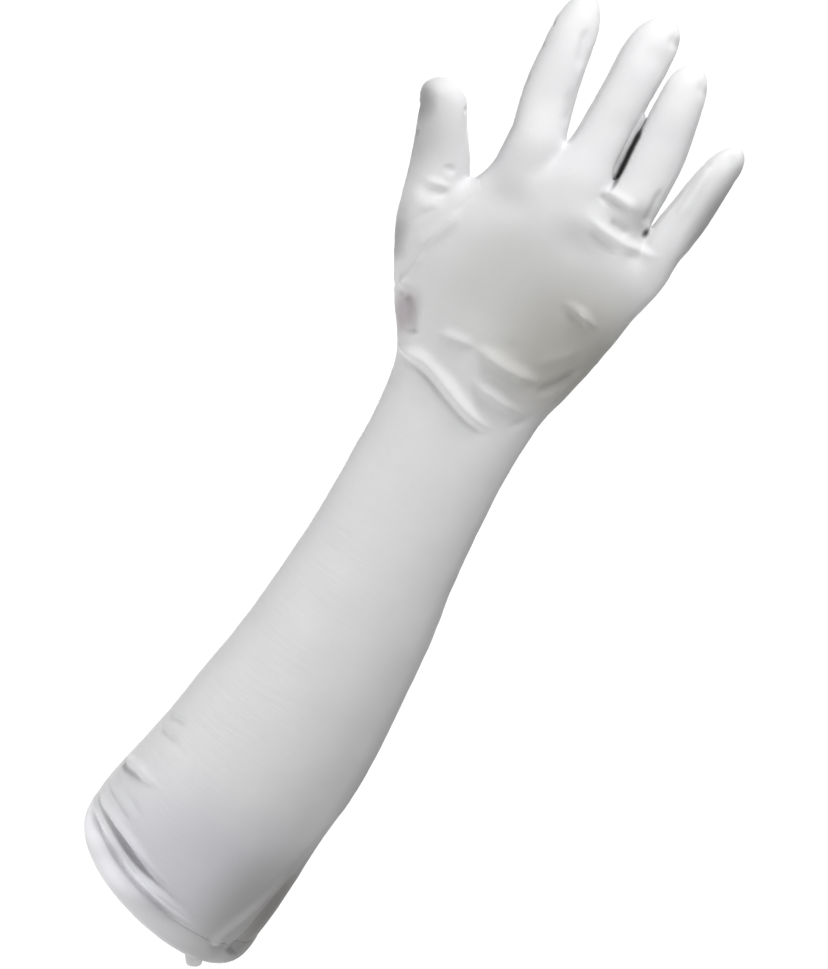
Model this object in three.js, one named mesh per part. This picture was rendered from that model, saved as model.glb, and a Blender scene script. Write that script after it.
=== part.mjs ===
// A long cotton dress glove for the left hand, in the rounded form that it has when it is worn.
// It stands with the fingers up (+Z), the palm towards -Y and the thumb towards -X.
// The origin is the middle of the wrist, where the hand fills the glove and holds it up.
//
// The cloth is one continuous skin, worked out from the short tables below. The skin is then cut along
// its seams into the panels that a glove of this kind is sewn from, and each panel gets its thickness.
import * as THREE from "three";

// Driving sizes, in millimetres.
const CLOTH = 1.2; // thickness of the stretch cotton
const HEM_CLOTH = 2.2; // the hem is the cloth turned up on itself
const SEAM_GAP = 0.3; // clearance between two panels along their seam
const HEM_DEPTH = 11; // height of the turned hem
const HEM_ROLL = 0.8; // how far the hem's middle stands out
const CUFF_EDGE = -247; // height of the cuff's edge, at the middle of the arm
const KNUCKLES = 100; // height at which the fingers divide, before it is bent to the webs

// Points round the arm and palm: one on each side seam, and 17 across each panel, 4 spaces for each finger.
const ACROSS = 18;
const AROUND = 2 * ACROSS;
const PER_FINGER = 4;
const FINGER_RING = 2 * (PER_FINGER + 2);

// Sections of the arm and palm. left and right are the outline from the front, front and back are the depths
// on the two sides of the middle plane y, and square is 2 for an ellipse and more for a boxier form.
const TRUNK = [
  { z: -264, left: -49.5, right: 33.4, y: 14.0, front: 41, back: 38, square: 2.1 },
  { z: -250, left: -50.8, right: 35.4, y: 12.6, front: 41, back: 38, square: 2.1 },
  { z: -236, left: -51.6, right: 37.3, y: 11.2, front: 41, back: 38, square: 2.1 },
  { z: -220, left: -51.0, right: 38.4, y: 9.6, front: 40, back: 38, square: 2.1 },
  { z: -205, left: -48.0, right: 38.9, y: 8.0, front: 39, back: 37, square: 2.1 },
  { z: -190, left: -44.4, right: 39.9, y: 6.6, front: 38, back: 36, square: 2.1 },
  { z: -175, left: -41.2, right: 41.9, y: 5.4, front: 36.5, back: 34.5, square: 2.1 },
  { z: -155, left: -37.8, right: 42.2, y: 4.1, front: 34.5, back: 32.5, square: 2.1 },
  { z: -130, left: -33.2, right: 40.9, y: 2.6, front: 31, back: 30, square: 2.1 },
  { z: -100, left: -29.6, right: 38.8, y: 1.2, front: 26.5, back: 26.5, square: 2.1 },
  { z: -70, left: -27.2, right: 35.0, y: 0.3, front: 22.5, back: 23, square: 2.1 },
  { z: -40, left: -26.6, right: 32.9, y: 0, front: 20, back: 20.5, square: 2.15 },
  { z: -20, left: -26.8, right: 32.4, y: 0, front: 19, back: 19.5, square: 2.2 },
  { z: 0, left: -29.6, right: 33.3, y: 0, front: 18.5, back: 18, square: 2.3 },
  { z: 10, left: -34.4, right: 35.1, y: -0.2, front: 18.5, back: 17, square: 2.4 },
  { z: 20, left: -41.0, right: 37.8, y: -0.5, front: 18.5, back: 16, square: 2.5 },
  { z: 35, left: -47.5, right: 41.2, y: -0.9, front: 18, back: 15, square: 2.6 },
  { z: 50, left: -47.5, right: 43.5, y: -1.4, front: 17, back: 14.5, square: 2.7 },
  { z: 65, left: -43.0, right: 45.2, y: -2.1, front: 15.5, back: 14, square: 2.8 },
  { z: 80, left: -34.0, right: 47.2, y: -3.0, front: 14, back: 13.3, square: 2.9 },
  { z: 92, left: -32.0, right: 49.6, y: -3.9, front: 12.3, back: 12, square: 2.8 },
  { z: 108, left: -33.0, right: 50.5, y: -4.8, front: 11, back: 11, square: 2.6 },
];

// How the skin's rows lie. tilt is their slope down to the right and lean their slope down to the front, as at
// the cuff's edge and along the wrist's folds. twist is how far the cloth has turned on the arm, in degrees.
const ROW_LAY = [
  { z: -264, tilt: -0.25, lean: 0.14, twist: 56 },
  { z: -236, tilt: -0.24, lean: 0.14, twist: 46 },
  { z: -215, tilt: -0.22, lean: 0.08, twist: 35 },
  { z: -190, tilt: -0.12, lean: 0.03, twist: 24 },
  { z: -160, tilt: 0, lean: 0, twist: 11 },
  { z: -130, tilt: 0, lean: 0, twist: 3 },
  { z: -100, tilt: 0, lean: 0, twist: 0 },
  { z: -40, tilt: 0, lean: 0, twist: 0 },
  { z: -12, tilt: -0.27, lean: 0, twist: 0 },
  { z: 5, tilt: -0.27, lean: 0, twist: 0 },
  { z: 24, tilt: 0, lean: 0, twist: 0 },
];

// Heights of the skin's rows, zone by zone: close together where the cloth is creased.
const ZONES = [
  { to: CUFF_EDGE + HEM_DEPTH, rows: 2, what: "hem" },
  { to: -190, rows: 14, what: "creased cuff" },
  { to: -24, rows: 11, what: "arm" },
  { to: 24, rows: 13, what: "creased wrist" },
  { to: 75, rows: 8, what: "thumb hole" },
  { to: KNUCKLES, rows: 4, what: "finger roots" },
];

// The line of the webs, from the thumb's side to the little finger's: where the fingers divide.
const WEBS = [
  { x: -33, z: 103 },
  { x: -11, z: 106 },
  { x: 12, z: 102.5 },
  { x: 33.2, z: 93 },
  { x: 49.8, z: 87 },
];

// Sections of the four fingers, given as the trunk's are, and the tip that each one closes to.
const FINGERS = [
  {
    name: "index",
    tip: { x: -29.8, y: -8.5, z: 162 },
    sections: [
      { z: 103, left: -33, right: -11, y: -4.4, front: 10.8, back: 11.0 },
      { z: 112, left: -35.0, right: -13.2, y: -4.9, front: 10.0, back: 9.8 },
      { z: 121, left: -36.7, right: -15.1, y: -5.5, front: 9.2, back: 8.9 },
      { z: 132, left: -37.4, right: -17.3, y: -6.4, front: 8.8, back: 8.6 },
      { z: 144, left: -37.8, right: -19.4, y: -7.6, front: 8.2, back: 7.8 },
    ],
  },
  {
    name: "middle",
    tip: { x: 1.2, y: -11.5, z: 168.6 },
    sections: [
      { z: 105, left: -11, right: 12, y: -4.6, front: 10.6, back: 11.0 },
      { z: 114, left: -10.2, right: 10.8, y: -5.2, front: 9.9, back: 9.7 },
      { z: 125, left: -10.1, right: 10.2, y: -6.3, front: 9.3, back: 9.1 },
      { z: 138, left: -9.9, right: 9.9, y: -8.0, front: 8.9, back: 8.8 },
      { z: 153, left: -10.2, right: 9.8, y: -10.0, front: 8.4, back: 8.0 },
    ],
  },
  {
    name: "ring",
    tip: { x: 18.8, y: -13.0, z: 158.2 },
    sections: [
      { z: 98, left: 12, right: 33.2, y: -4.2, front: 10.4, back: 10.8 },
      { z: 109, left: 11.7, right: 33.6, y: -5.4, front: 9.7, back: 9.5 },
      { z: 119, left: 11.2, right: 33.2, y: -6.6, front: 9.1, back: 8.9 },
      { z: 131, left: 11.1, right: 31.5, y: -8.4, front: 8.7, back: 8.6 },
      { z: 144, left: 11.0, right: 28.6, y: -10.8, front: 8.1, back: 7.7 },
    ],
  },
  {
    name: "little",
    tip: { x: 48.2, y: -12.5, z: 138.4 },
    sections: [
      { z: 90, left: 33.2, right: 49.8, y: -3.8, front: 9.2, back: 9.4 },
      { z: 99, left: 34.2, right: 51.8, y: -5.0, front: 8.4, back: 8.3 },
      { z: 107, left: 35.6, right: 52.5, y: -6.4, front: 7.8, back: 7.6 },
      { z: 116, left: 36.9, right: 53.0, y: -8.2, front: 7.4, back: 7.3 },
      { z: 126, left: 38.9, right: 53.0, y: -10.2, front: 6.8, back: 6.5 },
    ],
  },
];
const FINGER_SQUARE = 2.15;
const SEAM_ANGLE_ROOT = 30; // degrees from a finger's side to the edge of its panels, at the root
const SEAM_ANGLE_TIP = 14; // and where the fourchette between them ends

// The thumb's sections fan out from the hole in the palm to the tip: an outer point, an inner point, and the depth.
const THUMB = [
  { outerX: -46.6, outerZ: 31, innerX: -37.4, innerZ: 76.2, y: -2.4, front: 14.2, back: 12.8 },
  { outerX: -51.4, outerZ: 39, innerX: -38.8, innerZ: 77.2, y: -3.0, front: 13.6, back: 12.6 },
  { outerX: -55.2, outerZ: 48, innerX: -40.4, innerZ: 79.4, y: -3.7, front: 12.8, back: 12.0 },
  { outerX: -57.8, outerZ: 58, innerX: -41.9, innerZ: 82.6, y: -4.5, front: 11.8, back: 11.2 },
  { outerX: -60.0, outerZ: 68, innerX: -43.6, innerZ: 86.0, y: -5.4, front: 10.9, back: 10.4 },
  { outerX: -62.9, outerZ: 78, innerX: -45.4, innerZ: 90.0, y: -6.3, front: 10.3, back: 9.8 },
  { outerX: -66.0, outerZ: 87, innerX: -47.6, innerZ: 94.2, y: -7.3, front: 9.6, back: 9.2 },
  { outerX: -70.0, outerZ: 96.5, innerX: -49.8, innerZ: 98.6, y: -8.3, front: 8.4, back: 8.2 },
];
const THUMB_TIP = { x: -62.6, y: -8.8, z: 107.4 };

// The thumb hole: how far it opens round the palm, in degrees, at its middle and at its ends.
const HOLE_COLUMNS = 3;
const HOLE_HALF_ANGLE = { middle: 40, ends: 18 };

// Steps of a rounded tip, in degrees of its arc.
const TIP_ARC = [28, 52, 73];

// Soft hollows and pads, as seen from the front: height is outwards, and radii are across and along.
const FORMS = [
  { x: 4, z: 57, across: 19, along: 21, height: -3.2, face: "palm", what: "hollow of the palm" },
  { x: -22, z: 79, across: 9, along: 6, height: -1.2, face: "palm", what: "hollow under the index finger" },
  { x: 13, z: 77, across: 9, along: 6, height: -1.0, face: "palm", what: "hollow under the middle finger" },
  { x: -27, z: 38, across: 14, along: 22, height: 3.0, face: "palm", what: "ball of the thumb" },
  { x: 24, z: 34, across: 13, along: 22, height: 2.4, face: "palm", what: "heel of the hand" },
  { x: 0, z: 92, across: 32, along: 8, height: 1.2, face: "palm", what: "pads below the fingers" },
  { x: -22, z: 90, across: 8, along: 8, height: 1.6, face: "back", what: "index knuckle" },
  { x: 1, z: 92, across: 8, along: 8, height: 1.8, face: "back", what: "middle knuckle" },
  { x: 23, z: 87, across: 8, along: 8, height: 1.5, face: "back", what: "ring knuckle" },
  { x: 40, z: 79, across: 7, along: 7, height: 1.2, face: "back", what: "little knuckle" },
];

// Creases and rolls of cloth, each along a line seen from the front. A positive height is a roll.
const FOLDS = [
  { fromX: -33, fromZ: 11, toX: 27, toZ: -5, width: 3.2, height: 2.4, face: "palm", what: "roll across the wrist" },
  { fromX: -33, fromZ: 5.5, toX: 24, toZ: -10.5, width: 2.8, height: -1.7, face: "palm", what: "crease under it" },
  { fromX: -2, fromZ: 21.5, toX: 30, toZ: 21, width: 3, height: 1.3, face: "palm", what: "roll at the heel" },
  { fromX: -56, fromZ: -226, toX: 4, toZ: -235, width: 2.6, height: -2.2, face: "thumb side", what: "main crease" },
  { fromX: -56, fromZ: -219, toX: -12, toZ: -226, width: 3.2, height: 1.6, face: "thumb side", what: "roll above it" },
  { fromX: -56, fromZ: -202, toX: -24, toZ: -203, width: 2.8, height: -1.8, face: "thumb side", what: "upper crease" },
  { fromX: -54, fromZ: -197, toX: -26, toZ: -198, width: 3, height: 1, face: "thumb side", what: "roll above that" },
  { fromX: -38, fromZ: 24, toX: -35.5, toZ: 78, width: 3.4, height: 1.3, face: "palm", what: "pull on the thumb seam" },
  { fromX: -60, fromZ: 72, toX: -38, toZ: 71, width: 3.4, height: 1.2, face: "palm", what: "roll at the thumb root" },
  { fromX: 8, fromZ: 88, toX: 50, toZ: 87, width: 4, height: 1.2, face: "palm", what: "roll under the fingers" },
];

const MATERIAL_LOOK = { color: 0xe9e9ea, roughness: 0.72, metalness: 0, side: THREE.FrontSide };

// One column of a table at a height, on a smooth curve through the table's rows.
function at(table, column, z) {
  const last = table.length - 1;
  if (z <= table[0].z) return table[0][column];
  if (z >= table[last].z) return table[last][column];
  const i = table.findIndex((row) => row.z > z) - 1;
  const slope = (j) => {
    const before = table[Math.max(j - 1, 0)];
    const after = table[Math.min(j + 1, last)];
    return (after[column] - before[column]) / (after.z - before.z);
  };
  const [low, high] = [table[i], table[i + 1]];
  const rise = high.z - low.z;
  const t = (z - low.z) / rise;
  const [t2, t3] = [t * t, t * t * t];
  return (
    (2 * t3 - 3 * t2 + 1) * low[column] +
    (t3 - 2 * t2 + t) * rise * slope(i) +
    (3 * t2 - 2 * t3) * high[column] +
    (t3 - t2) * rise * slope(i + 1)
  );
}

// Height of the web line above a place across the hand.
function webHeight(x) {
  const line = WEBS.map((web) => ({ z: web.x, height: web.z }));
  return at(line, "height", x);
}

// A point of a rounded section. The angle is 0 on the thumb's side, 90 on the palm and 180 on the far side.
function onSection(section, square, angle) {
  const middle = (section.left + section.right) / 2;
  const half = (section.right - section.left) / 2;
  const depth = Math.sin(angle) > 0 ? section.front : section.back;
  const power = (value) => Math.sign(value) * Math.abs(value) ** (2 / square);
  return { x: middle - half * power(Math.cos(angle)), y: section.y - depth * power(Math.sin(angle)) };
}

// All the columns of a table's row at a height.
function rowAt(table, z) {
  const columns = Object.keys(table[0]).filter((column) => column !== "z");
  return Object.fromEntries(columns.map((column) => [column, at(table, column, z)]));
}

function trunkHeights() {
  const heights = [CUFF_EDGE];
  for (const zone of ZONES) {
    const from = heights[heights.length - 1];
    for (let row = 1; row <= zone.rows; row++) heights.push(from + ((zone.to - from) * row) / zone.rows);
  }
  return heights;
}

// First and last row of a zone.
function zoneRows(what) {
  let first = 0;
  for (const zone of ZONES) {
    if (zone.what === what) return { first, last: first + zone.rows };
    first += zone.rows;
  }
  throw new Error("no zone named " + what);
}

// Angle of a column round the trunk. Beside the thumb hole the columns spread to leave the hole its oval.
function columnAngle(column, z) {
  const zone = zoneRows("thumb hole");
  const heights = trunkHeights();
  const [bottom, top] = [heights[zone.first], heights[zone.last]];
  const even = 180 / ACROSS;
  const along = THREE.MathUtils.clamp((z - bottom) / (top - bottom), 0, 1);
  const oval = Math.sqrt(Math.max(0, 1 - (2 * along - 1) ** 2));
  const opened = THREE.MathUtils.lerp(HOLE_HALF_ANGLE.ends, HOLE_HALF_ANGLE.middle, oval);
  const away = Math.max(bottom - z, z - top, 0);
  const edge = THREE.MathUtils.lerp(opened, HOLE_COLUMNS * even, THREE.MathUtils.smoothstep(away, 0, 20));
  const fromSide = column <= ACROSS ? column : AROUND - column;
  const angle =
    fromSide <= HOLE_COLUMNS
      ? (edge * fromSide) / HOLE_COLUMNS
      : edge + ((180 - edge) * (fromSide - HOLE_COLUMNS)) / (ACROSS - HOLE_COLUMNS);
  return column <= ACROSS ? angle : 360 - angle;
}

// Place of a trunk column in the row where the fingers start: each finger's own section begins there.
function rootPoint(column) {
  const fromSide = column <= ACROSS ? column : AROUND - column;
  if (fromSide === 0) return fingerPoint(FINGERS[0], 0, 0);
  if (fromSide === ACROSS) return fingerPoint(FINGERS[3], 0, FINGER_RING / 2);
  const finger = Math.min(Math.floor((fromSide - 1) / PER_FINGER), FINGERS.length - 1);
  const place = fromSide - 1 - finger * PER_FINGER;
  const ringIndex = column <= ACROSS ? 1 + place : FINGER_RING - 1 - place;
  const point = fingerPoint(FINGERS[finger], 0, ringIndex);
  if (place === 0 && finger > 0) point.x = WEBS[finger].x;
  return point;
}

function trunkPoint(column, z) {
  const lay = rowAt(ROW_LAY, z);
  const angle = THREE.MathUtils.degToRad(columnAngle(column, z) - lay.twist);
  let section = rowAt(TRUNK, z);
  const first = onSection(section, section.square, angle);
  const lift = lay.tilt * (first.x - (section.left + section.right) / 2) + lay.lean * (first.y - section.y);
  section = rowAt(TRUNK, z + lift);
  const plain = onSection(section, section.square, angle);

  const root = rootPoint(column);
  const x = THREE.MathUtils.lerp(plain.x, root.x, THREE.MathUtils.smoothstep(z, 60, KNUCKLES));
  const y = THREE.MathUtils.lerp(plain.y, root.y, THREE.MathUtils.smoothstep(z, 82, KNUCKLES));
  const bend = THREE.MathUtils.smoothstep(z, 30, KNUCKLES) * (webHeight(x) - KNUCKLES);
  return new THREE.Vector3(x, y, z + lift + bend);
}

// How far up a finger each of its rows is, from its root to where the tip starts to round.
function fingerShares() {
  return [0, 0.12, 0.3, 0.53, 0.77, 1];
}

// Angle of a point of a finger's ring: the panels' edges close in on the finger's sides towards the tip.
function fingerAngle(ringIndex, share) {
  const edge = THREE.MathUtils.lerp(SEAM_ANGLE_ROOT, SEAM_ANGLE_TIP, share);
  const half = FINGER_RING / 2;
  const fromSide = ringIndex <= half ? ringIndex : FINGER_RING - ringIndex;
  const step = (180 - 2 * edge) / PER_FINGER;
  const angle = fromSide === 0 ? 0 : fromSide === half ? 180 : edge + step * (fromSide - 1);
  return THREE.MathUtils.degToRad(ringIndex <= half ? angle : 360 - angle);
}

function fingerPoint(finger, share, ringIndex) {
  const table = finger.sections;
  const bottom = table[0].z;
  const z = THREE.MathUtils.lerp(bottom, table[table.length - 1].z, share);
  const flat = onSection(rowAt(table, z), FINGER_SQUARE, fingerAngle(ringIndex, share));
  const bend = (1 - THREE.MathUtils.smoothstep(share, 0, 0.5)) * (webHeight(flat.x) - bottom);
  return new THREE.Vector3(flat.x, flat.y, z + bend);
}

function thumbPoint(row, ringIndex, ringSize) {
  const angle = (2 * Math.PI * ringIndex) / ringSize;
  const depth = Math.sin(angle) > 0 ? row.front : row.back;
  const towardsOuter = (1 + Math.cos(angle)) / 2;
  return new THREE.Vector3(
    THREE.MathUtils.lerp(row.innerX, row.outerX, towardsOuter),
    row.y - depth * Math.sin(angle),
    THREE.MathUtils.lerp(row.innerZ, row.outerZ, towardsOuter),
  );
}

// The whole skin: shared points, and faces that each belong to one panel.
const skin = { points: [], faces: [] };

function addPoint(point) {
  skin.points.push(point);
  return skin.points.length - 1;
}

function addFace(panel, corners) {
  if (panel) skin.faces.push({ panel, corners });
}

// Joins two rings of equal size with faces. panelOf names the panel of each space between points.
function joinRings(lower, upper, panelOf) {
  lower.forEach((corner, i) => {
    const next = (i + 1) % lower.length;
    addFace(panelOf(i), [corner, lower[next], upper[next], upper[i]]);
  });
}

// Rounds a tube off to its tip.
function closeTip(ring, tip, panelOf) {
  const rim = ring.map((index) => skin.points[index]);
  const middle = rim.reduce((sum, point) => sum.add(point), new THREE.Vector3()).divideScalar(rim.length);
  let below = ring;
  for (const arc of TIP_ARC.map(THREE.MathUtils.degToRad)) {
    const centre = middle.clone().lerp(tip, Math.sin(arc));
    const above = rim.map((point) => {
      const spoke = point.clone().sub(middle).multiplyScalar(Math.cos(arc));
      return addPoint(spoke.add(centre));
    });
    joinRings(below, above, panelOf);
    below = above;
  }
  const end = addPoint(tip.clone());
  below.forEach((corner, i) => addFace(panelOf(i), [corner, below[(i + 1) % below.length], end]));
}

// The arm and palm, with the hole that the thumb is set into. Gives back the rows.
function makeTrunk() {
  const hem = zoneRows("hem");
  const hole = zoneRows("thumb hole");
  const rows = trunkHeights().map((z) =>
    Array.from({ length: AROUND }, (_, column) => addPoint(trunkPoint(column, z))),
  );
  rollHem(rows.slice(1, hem.last));
  rows.slice(1).forEach((upper, row) => {
    joinRings(rows[row], upper, (column) => {
      if (row < hem.last) return "cuff_hem";
      const nearThumb = column < HOLE_COLUMNS || column >= AROUND - HOLE_COLUMNS;
      if (nearThumb && row >= hole.first && row < hole.last) return null;
      return column < ACROSS ? "palm_panel" : "back_panel";
    });
  });
  return rows;
}

// Rounds the hem: its rows between the edge and the stitching stand out from the arm.
function rollHem(rows) {
  for (const row of rows) {
    const ring = row.map((index) => skin.points[index]);
    const middle = ring.reduce((sum, point) => sum.add(point), new THREE.Vector3()).divideScalar(ring.length);
    ring.forEach((point) => point.addScaledVector(point.clone().sub(middle).normalize(), HEM_ROLL));
  }
}

// The points round the thumb hole, from its lower end up the palm side and down the back.
function holeRing(rows) {
  const { first, last } = zoneRows("thumb hole");
  const ring = [];
  for (let column = 0; column < HOLE_COLUMNS; column++) ring.push(rows[first][column]);
  for (let row = first; row < last; row++) ring.push(rows[row][HOLE_COLUMNS]);
  for (let column = HOLE_COLUMNS; column > 0; column--) ring.push(rows[last][column]);
  for (let column = 0; column < HOLE_COLUMNS; column++) ring.push(rows[last][(AROUND - column) % AROUND]);
  for (let row = last; row > first; row--) ring.push(rows[row][AROUND - HOLE_COLUMNS]);
  for (let column = HOLE_COLUMNS; column > 0; column--) ring.push(rows[first][AROUND - column]);
  return ring;
}

function makeThumb(rows) {
  const panelOf = (i) => (i < base.length / 2 ? "thumb_palm_half" : "thumb_back_half");
  const base = holeRing(rows);
  let below = base;
  for (const section of THUMB) {
    const above = base.map((_, i) => addPoint(thumbPoint(section, i, base.length)));
    joinRings(below, above, panelOf);
    below = above;
  }
  closeTip(below, new THREE.Vector3(THUMB_TIP.x, THUMB_TIP.y, THUMB_TIP.z), panelOf);
}

// The middle point of each web, between its palm edge and its back edge.
function webPoints(topRow) {
  return [1, 2, 3].map((finger) => {
    const column = finger * PER_FINGER + 1;
    const edges = [topRow[column], topRow[AROUND - column]].map((index) => skin.points[index]);
    return addPoint(edges[0].clone().lerp(edges[1], 0.5));
  });
}

function makeFinger(number, topRow, webs) {
  const finger = FINGERS[number];
  const first = number * PER_FINGER + 1;
  const palmEdge = topRow.slice(first, first + PER_FINGER + 1);
  const backEdge = topRow.slice(AROUND - first - PER_FINGER, AROUND - first + 1);
  const thumbSide = number === 0 ? topRow[0] : webs[number - 1];
  const farSide = number === FINGERS.length - 1 ? topRow[ACROSS] : webs[number];
  const half = FINGER_RING / 2;

  const plainPanel = (i) => (i < half ? "palm_panel" : "back_panel");
  const sewnPanel = (i) => {
    if ((i === 0 || i === FINGER_RING - 1) && number > 0) return fourchetteName(number - 1);
    if ((i === half - 1 || i === half) && number < FINGERS.length - 1) return fourchetteName(number);
    return plainPanel(i);
  };
  let below = [thumbSide, ...palmEdge, farSide, ...backEdge];
  for (const share of fingerShares().slice(1)) {
    const above = below.map((_, i) => addPoint(fingerPoint(finger, share, i)));
    joinRings(below, above, sewnPanel);
    below = above;
  }
  closeTip(below, new THREE.Vector3(finger.tip.x, finger.tip.y, finger.tip.z), plainPanel);
}

function fourchetteName(number) {
  return `fourchette_${FINGERS[number].name}_${FINGERS[number + 1].name}`;
}

// Outward direction of the skin at each point, from all the faces that meet there.
function skinNormals() {
  const normals = skin.points.map(() => new THREE.Vector3());
  for (const { corners } of skin.faces) {
    const points = corners.map((index) => skin.points[index]);
    const across = points[2].clone().sub(points[0]);
    const along = (points[3] ?? points[2]).clone().sub(points[1]);
    const outward = across.cross(along);
    corners.forEach((index) => normals[index].add(outward));
  }
  return normals.map((normal) => normal.normalize());
}

// How much a form or fold that lies on one face acts on cloth that looks in a given direction.
function faceShare(face, normal) {
  const towards = { palm: -normal.y, back: normal.y, "thumb side": -normal.x * 0.8 - normal.y * 0.6 };
  return THREE.MathUtils.smoothstep(towards[face], 0.2, 0.8);
}

function formHeight(point, normal) {
  let height = 0;
  for (const form of FORMS) {
    const across = (point.x - form.x) / form.across;
    const along = (point.z - form.z) / form.along;
    height += form.height * Math.exp(-(across ** 2 + along ** 2)) * faceShare(form.face, normal);
  }
  for (const fold of FOLDS) {
    const start = new THREE.Vector2(fold.fromX, fold.fromZ);
    const run = new THREE.Vector2(fold.toX, fold.toZ).sub(start);
    const offset = new THREE.Vector2(point.x, point.z).sub(start);
    const share = offset.dot(run) / run.lengthSq();
    const away = Math.abs(offset.cross(run)) / run.length() / fold.width;
    const ends = THREE.MathUtils.smoothstep(share, 0, 0.2) * (1 - THREE.MathUtils.smoothstep(share, 0.7, 1));
    height += fold.height * Math.exp(-(away ** 2)) * ends * faceShare(fold.face, normal);
  }
  return height;
}

function shapeSkin() {
  const normals = skinNormals();
  skin.points.forEach((point, i) => point.addScaledVector(normals[i], formHeight(point, normals[i])));
}

// The edges of a panel, each running the way that its one face does.
function openEdges(faces) {
  const edges = new Map();
  for (const { corners } of faces) {
    corners.forEach((from, i) => {
      const to = corners[(i + 1) % corners.length];
      if (!edges.delete(`${to} ${from}`)) edges.set(`${from} ${to}`, [from, to]);
    });
  }
  return [...edges.values()];
}

// A closed solid of one panel: the skin's faces, the same faces one thickness inside, and a wall along the seams.
function thickPanel(panel, normals) {
  const faces = skin.faces.filter((face) => face.panel === panel);
  const edges = openEdges(faces);
  const thickness = panel === "cuff_hem" ? HEM_CLOTH : CLOTH;

  const inset = new Map();
  for (const [from, to] of edges) {
    const along = skin.points[to].clone().sub(skin.points[from]).normalize();
    for (const index of [from, to]) {
      const inwards = normals[index].clone().cross(along);
      inset.set(index, (inset.get(index) ?? new THREE.Vector3()).add(inwards));
    }
  }
  const placed = new Map();
  const positions = [];
  const place = (index) => {
    if (!placed.has(index)) {
      const outer = skin.points[index].clone();
      if (inset.has(index)) outer.addScaledVector(inset.get(index).normalize(), SEAM_GAP / 2);
      const inner = outer.clone().addScaledVector(normals[index], -thickness);
      placed.set(index, positions.length / 3);
      positions.push(...outer.toArray(), ...inner.toArray());
    }
    return placed.get(index);
  };
  const triangles = [];
  for (const { corners } of faces) {
    const outer = corners.map(place);
    const inner = outer.map((index) => index + 1);
    for (let i = 2; i < corners.length; i++) {
      triangles.push(outer[0], outer[i - 1], outer[i]);
      triangles.push(inner[0], inner[i], inner[i - 1]);
    }
  }
  // Both panels of a seam split its wall the same way, so that their walls run side by side.
  for (const [from, to] of edges) {
    const [a, b] = [place(from), place(to)];
    if (from < to) triangles.push(a, a + 1, b + 1, a, b + 1, b);
    else triangles.push(a, a + 1, b, a + 1, b + 1, b);
  }
  const geometry = new THREE.BufferGeometry();
  geometry.setAttribute("position", new THREE.Float32BufferAttribute(positions, 3));
  geometry.setIndex(triangles);
  geometry.computeVertexNormals();
  return geometry;
}

function makeGlove() {
  const rows = makeTrunk();
  makeThumb(rows);
  const topRow = rows[rows.length - 1];
  const webs = webPoints(topRow);
  FINGERS.forEach((_, number) => makeFinger(number, topRow, webs));
  shapeSkin();

  const normals = skinNormals();
  const glove = new THREE.Group();
  for (const panel of new Set(skin.faces.map((face) => face.panel))) {
    const mesh = new THREE.Mesh(thickPanel(panel, normals), new THREE.MeshStandardMaterial(MATERIAL_LOOK));
    mesh.name = panel;
    glove.add(mesh);
  }
  return glove;
}

export default makeGlove();
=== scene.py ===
"""The look of a long cotton dress glove: its sewn panels, turned hem, folds, stitching and knit.

The tables are in millimetres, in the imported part's own frame: fingers up (+Z), palm towards -Y and thumb
towards -X, with the middle of the wrist at the origin. Meshes are made in metres.
"""
import logging
import math
from collections.abc import Callable, Sequence
from dataclasses import dataclass
from enum import Enum, IntEnum

import bmesh
import bpy
import numpy as np
from bmesh.types import BMEdge, BMFace, BMVert
from mathutils import Matrix, Vector, noise
from mathutils.kdtree import KDTree


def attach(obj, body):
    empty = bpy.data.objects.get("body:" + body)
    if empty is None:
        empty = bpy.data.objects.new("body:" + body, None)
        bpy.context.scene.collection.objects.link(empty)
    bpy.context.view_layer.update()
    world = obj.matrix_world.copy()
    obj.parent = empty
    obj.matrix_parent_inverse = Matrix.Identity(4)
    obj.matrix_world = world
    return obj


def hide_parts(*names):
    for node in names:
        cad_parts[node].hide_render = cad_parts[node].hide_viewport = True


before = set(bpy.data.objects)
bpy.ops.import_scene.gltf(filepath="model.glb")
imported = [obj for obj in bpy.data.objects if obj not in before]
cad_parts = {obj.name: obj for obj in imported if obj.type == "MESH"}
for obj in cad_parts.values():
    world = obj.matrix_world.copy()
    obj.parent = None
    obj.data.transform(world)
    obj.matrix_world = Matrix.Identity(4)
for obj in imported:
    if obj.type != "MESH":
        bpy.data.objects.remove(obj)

LOG = logging.getLogger("glove")
MM = 0.001
BODY = "root"

# Spaces of the cage between the two side seams, and along the edge of each finger.
ACROSS = 26
AROUND = 2 * ACROSS
PER_FINGER = 6
FINGER_RING = 2 * (PER_FINGER + 2)
HOLE_COLUMNS = 5
SMOOTHING = 2
# How many of its own widths away a fold or pucker has faded to nothing.
FADED = 3


class Panel(IntEnum):
    """The pieces of cloth that the glove is sewn from."""

    PALM = 0
    BACK = 1
    THUMB_PALM = 2
    THUMB_BACK = 3
    INDEX_MIDDLE = 4
    MIDDLE_RING = 5
    RING_LITTLE = 6
    THUMB_HOLE = 7


class Side(Enum):
    """The way that cloth faces where a hollow or pad acts on it."""

    PALM = (0.0, -1.0)
    BACK = (0.0, 1.0)


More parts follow.
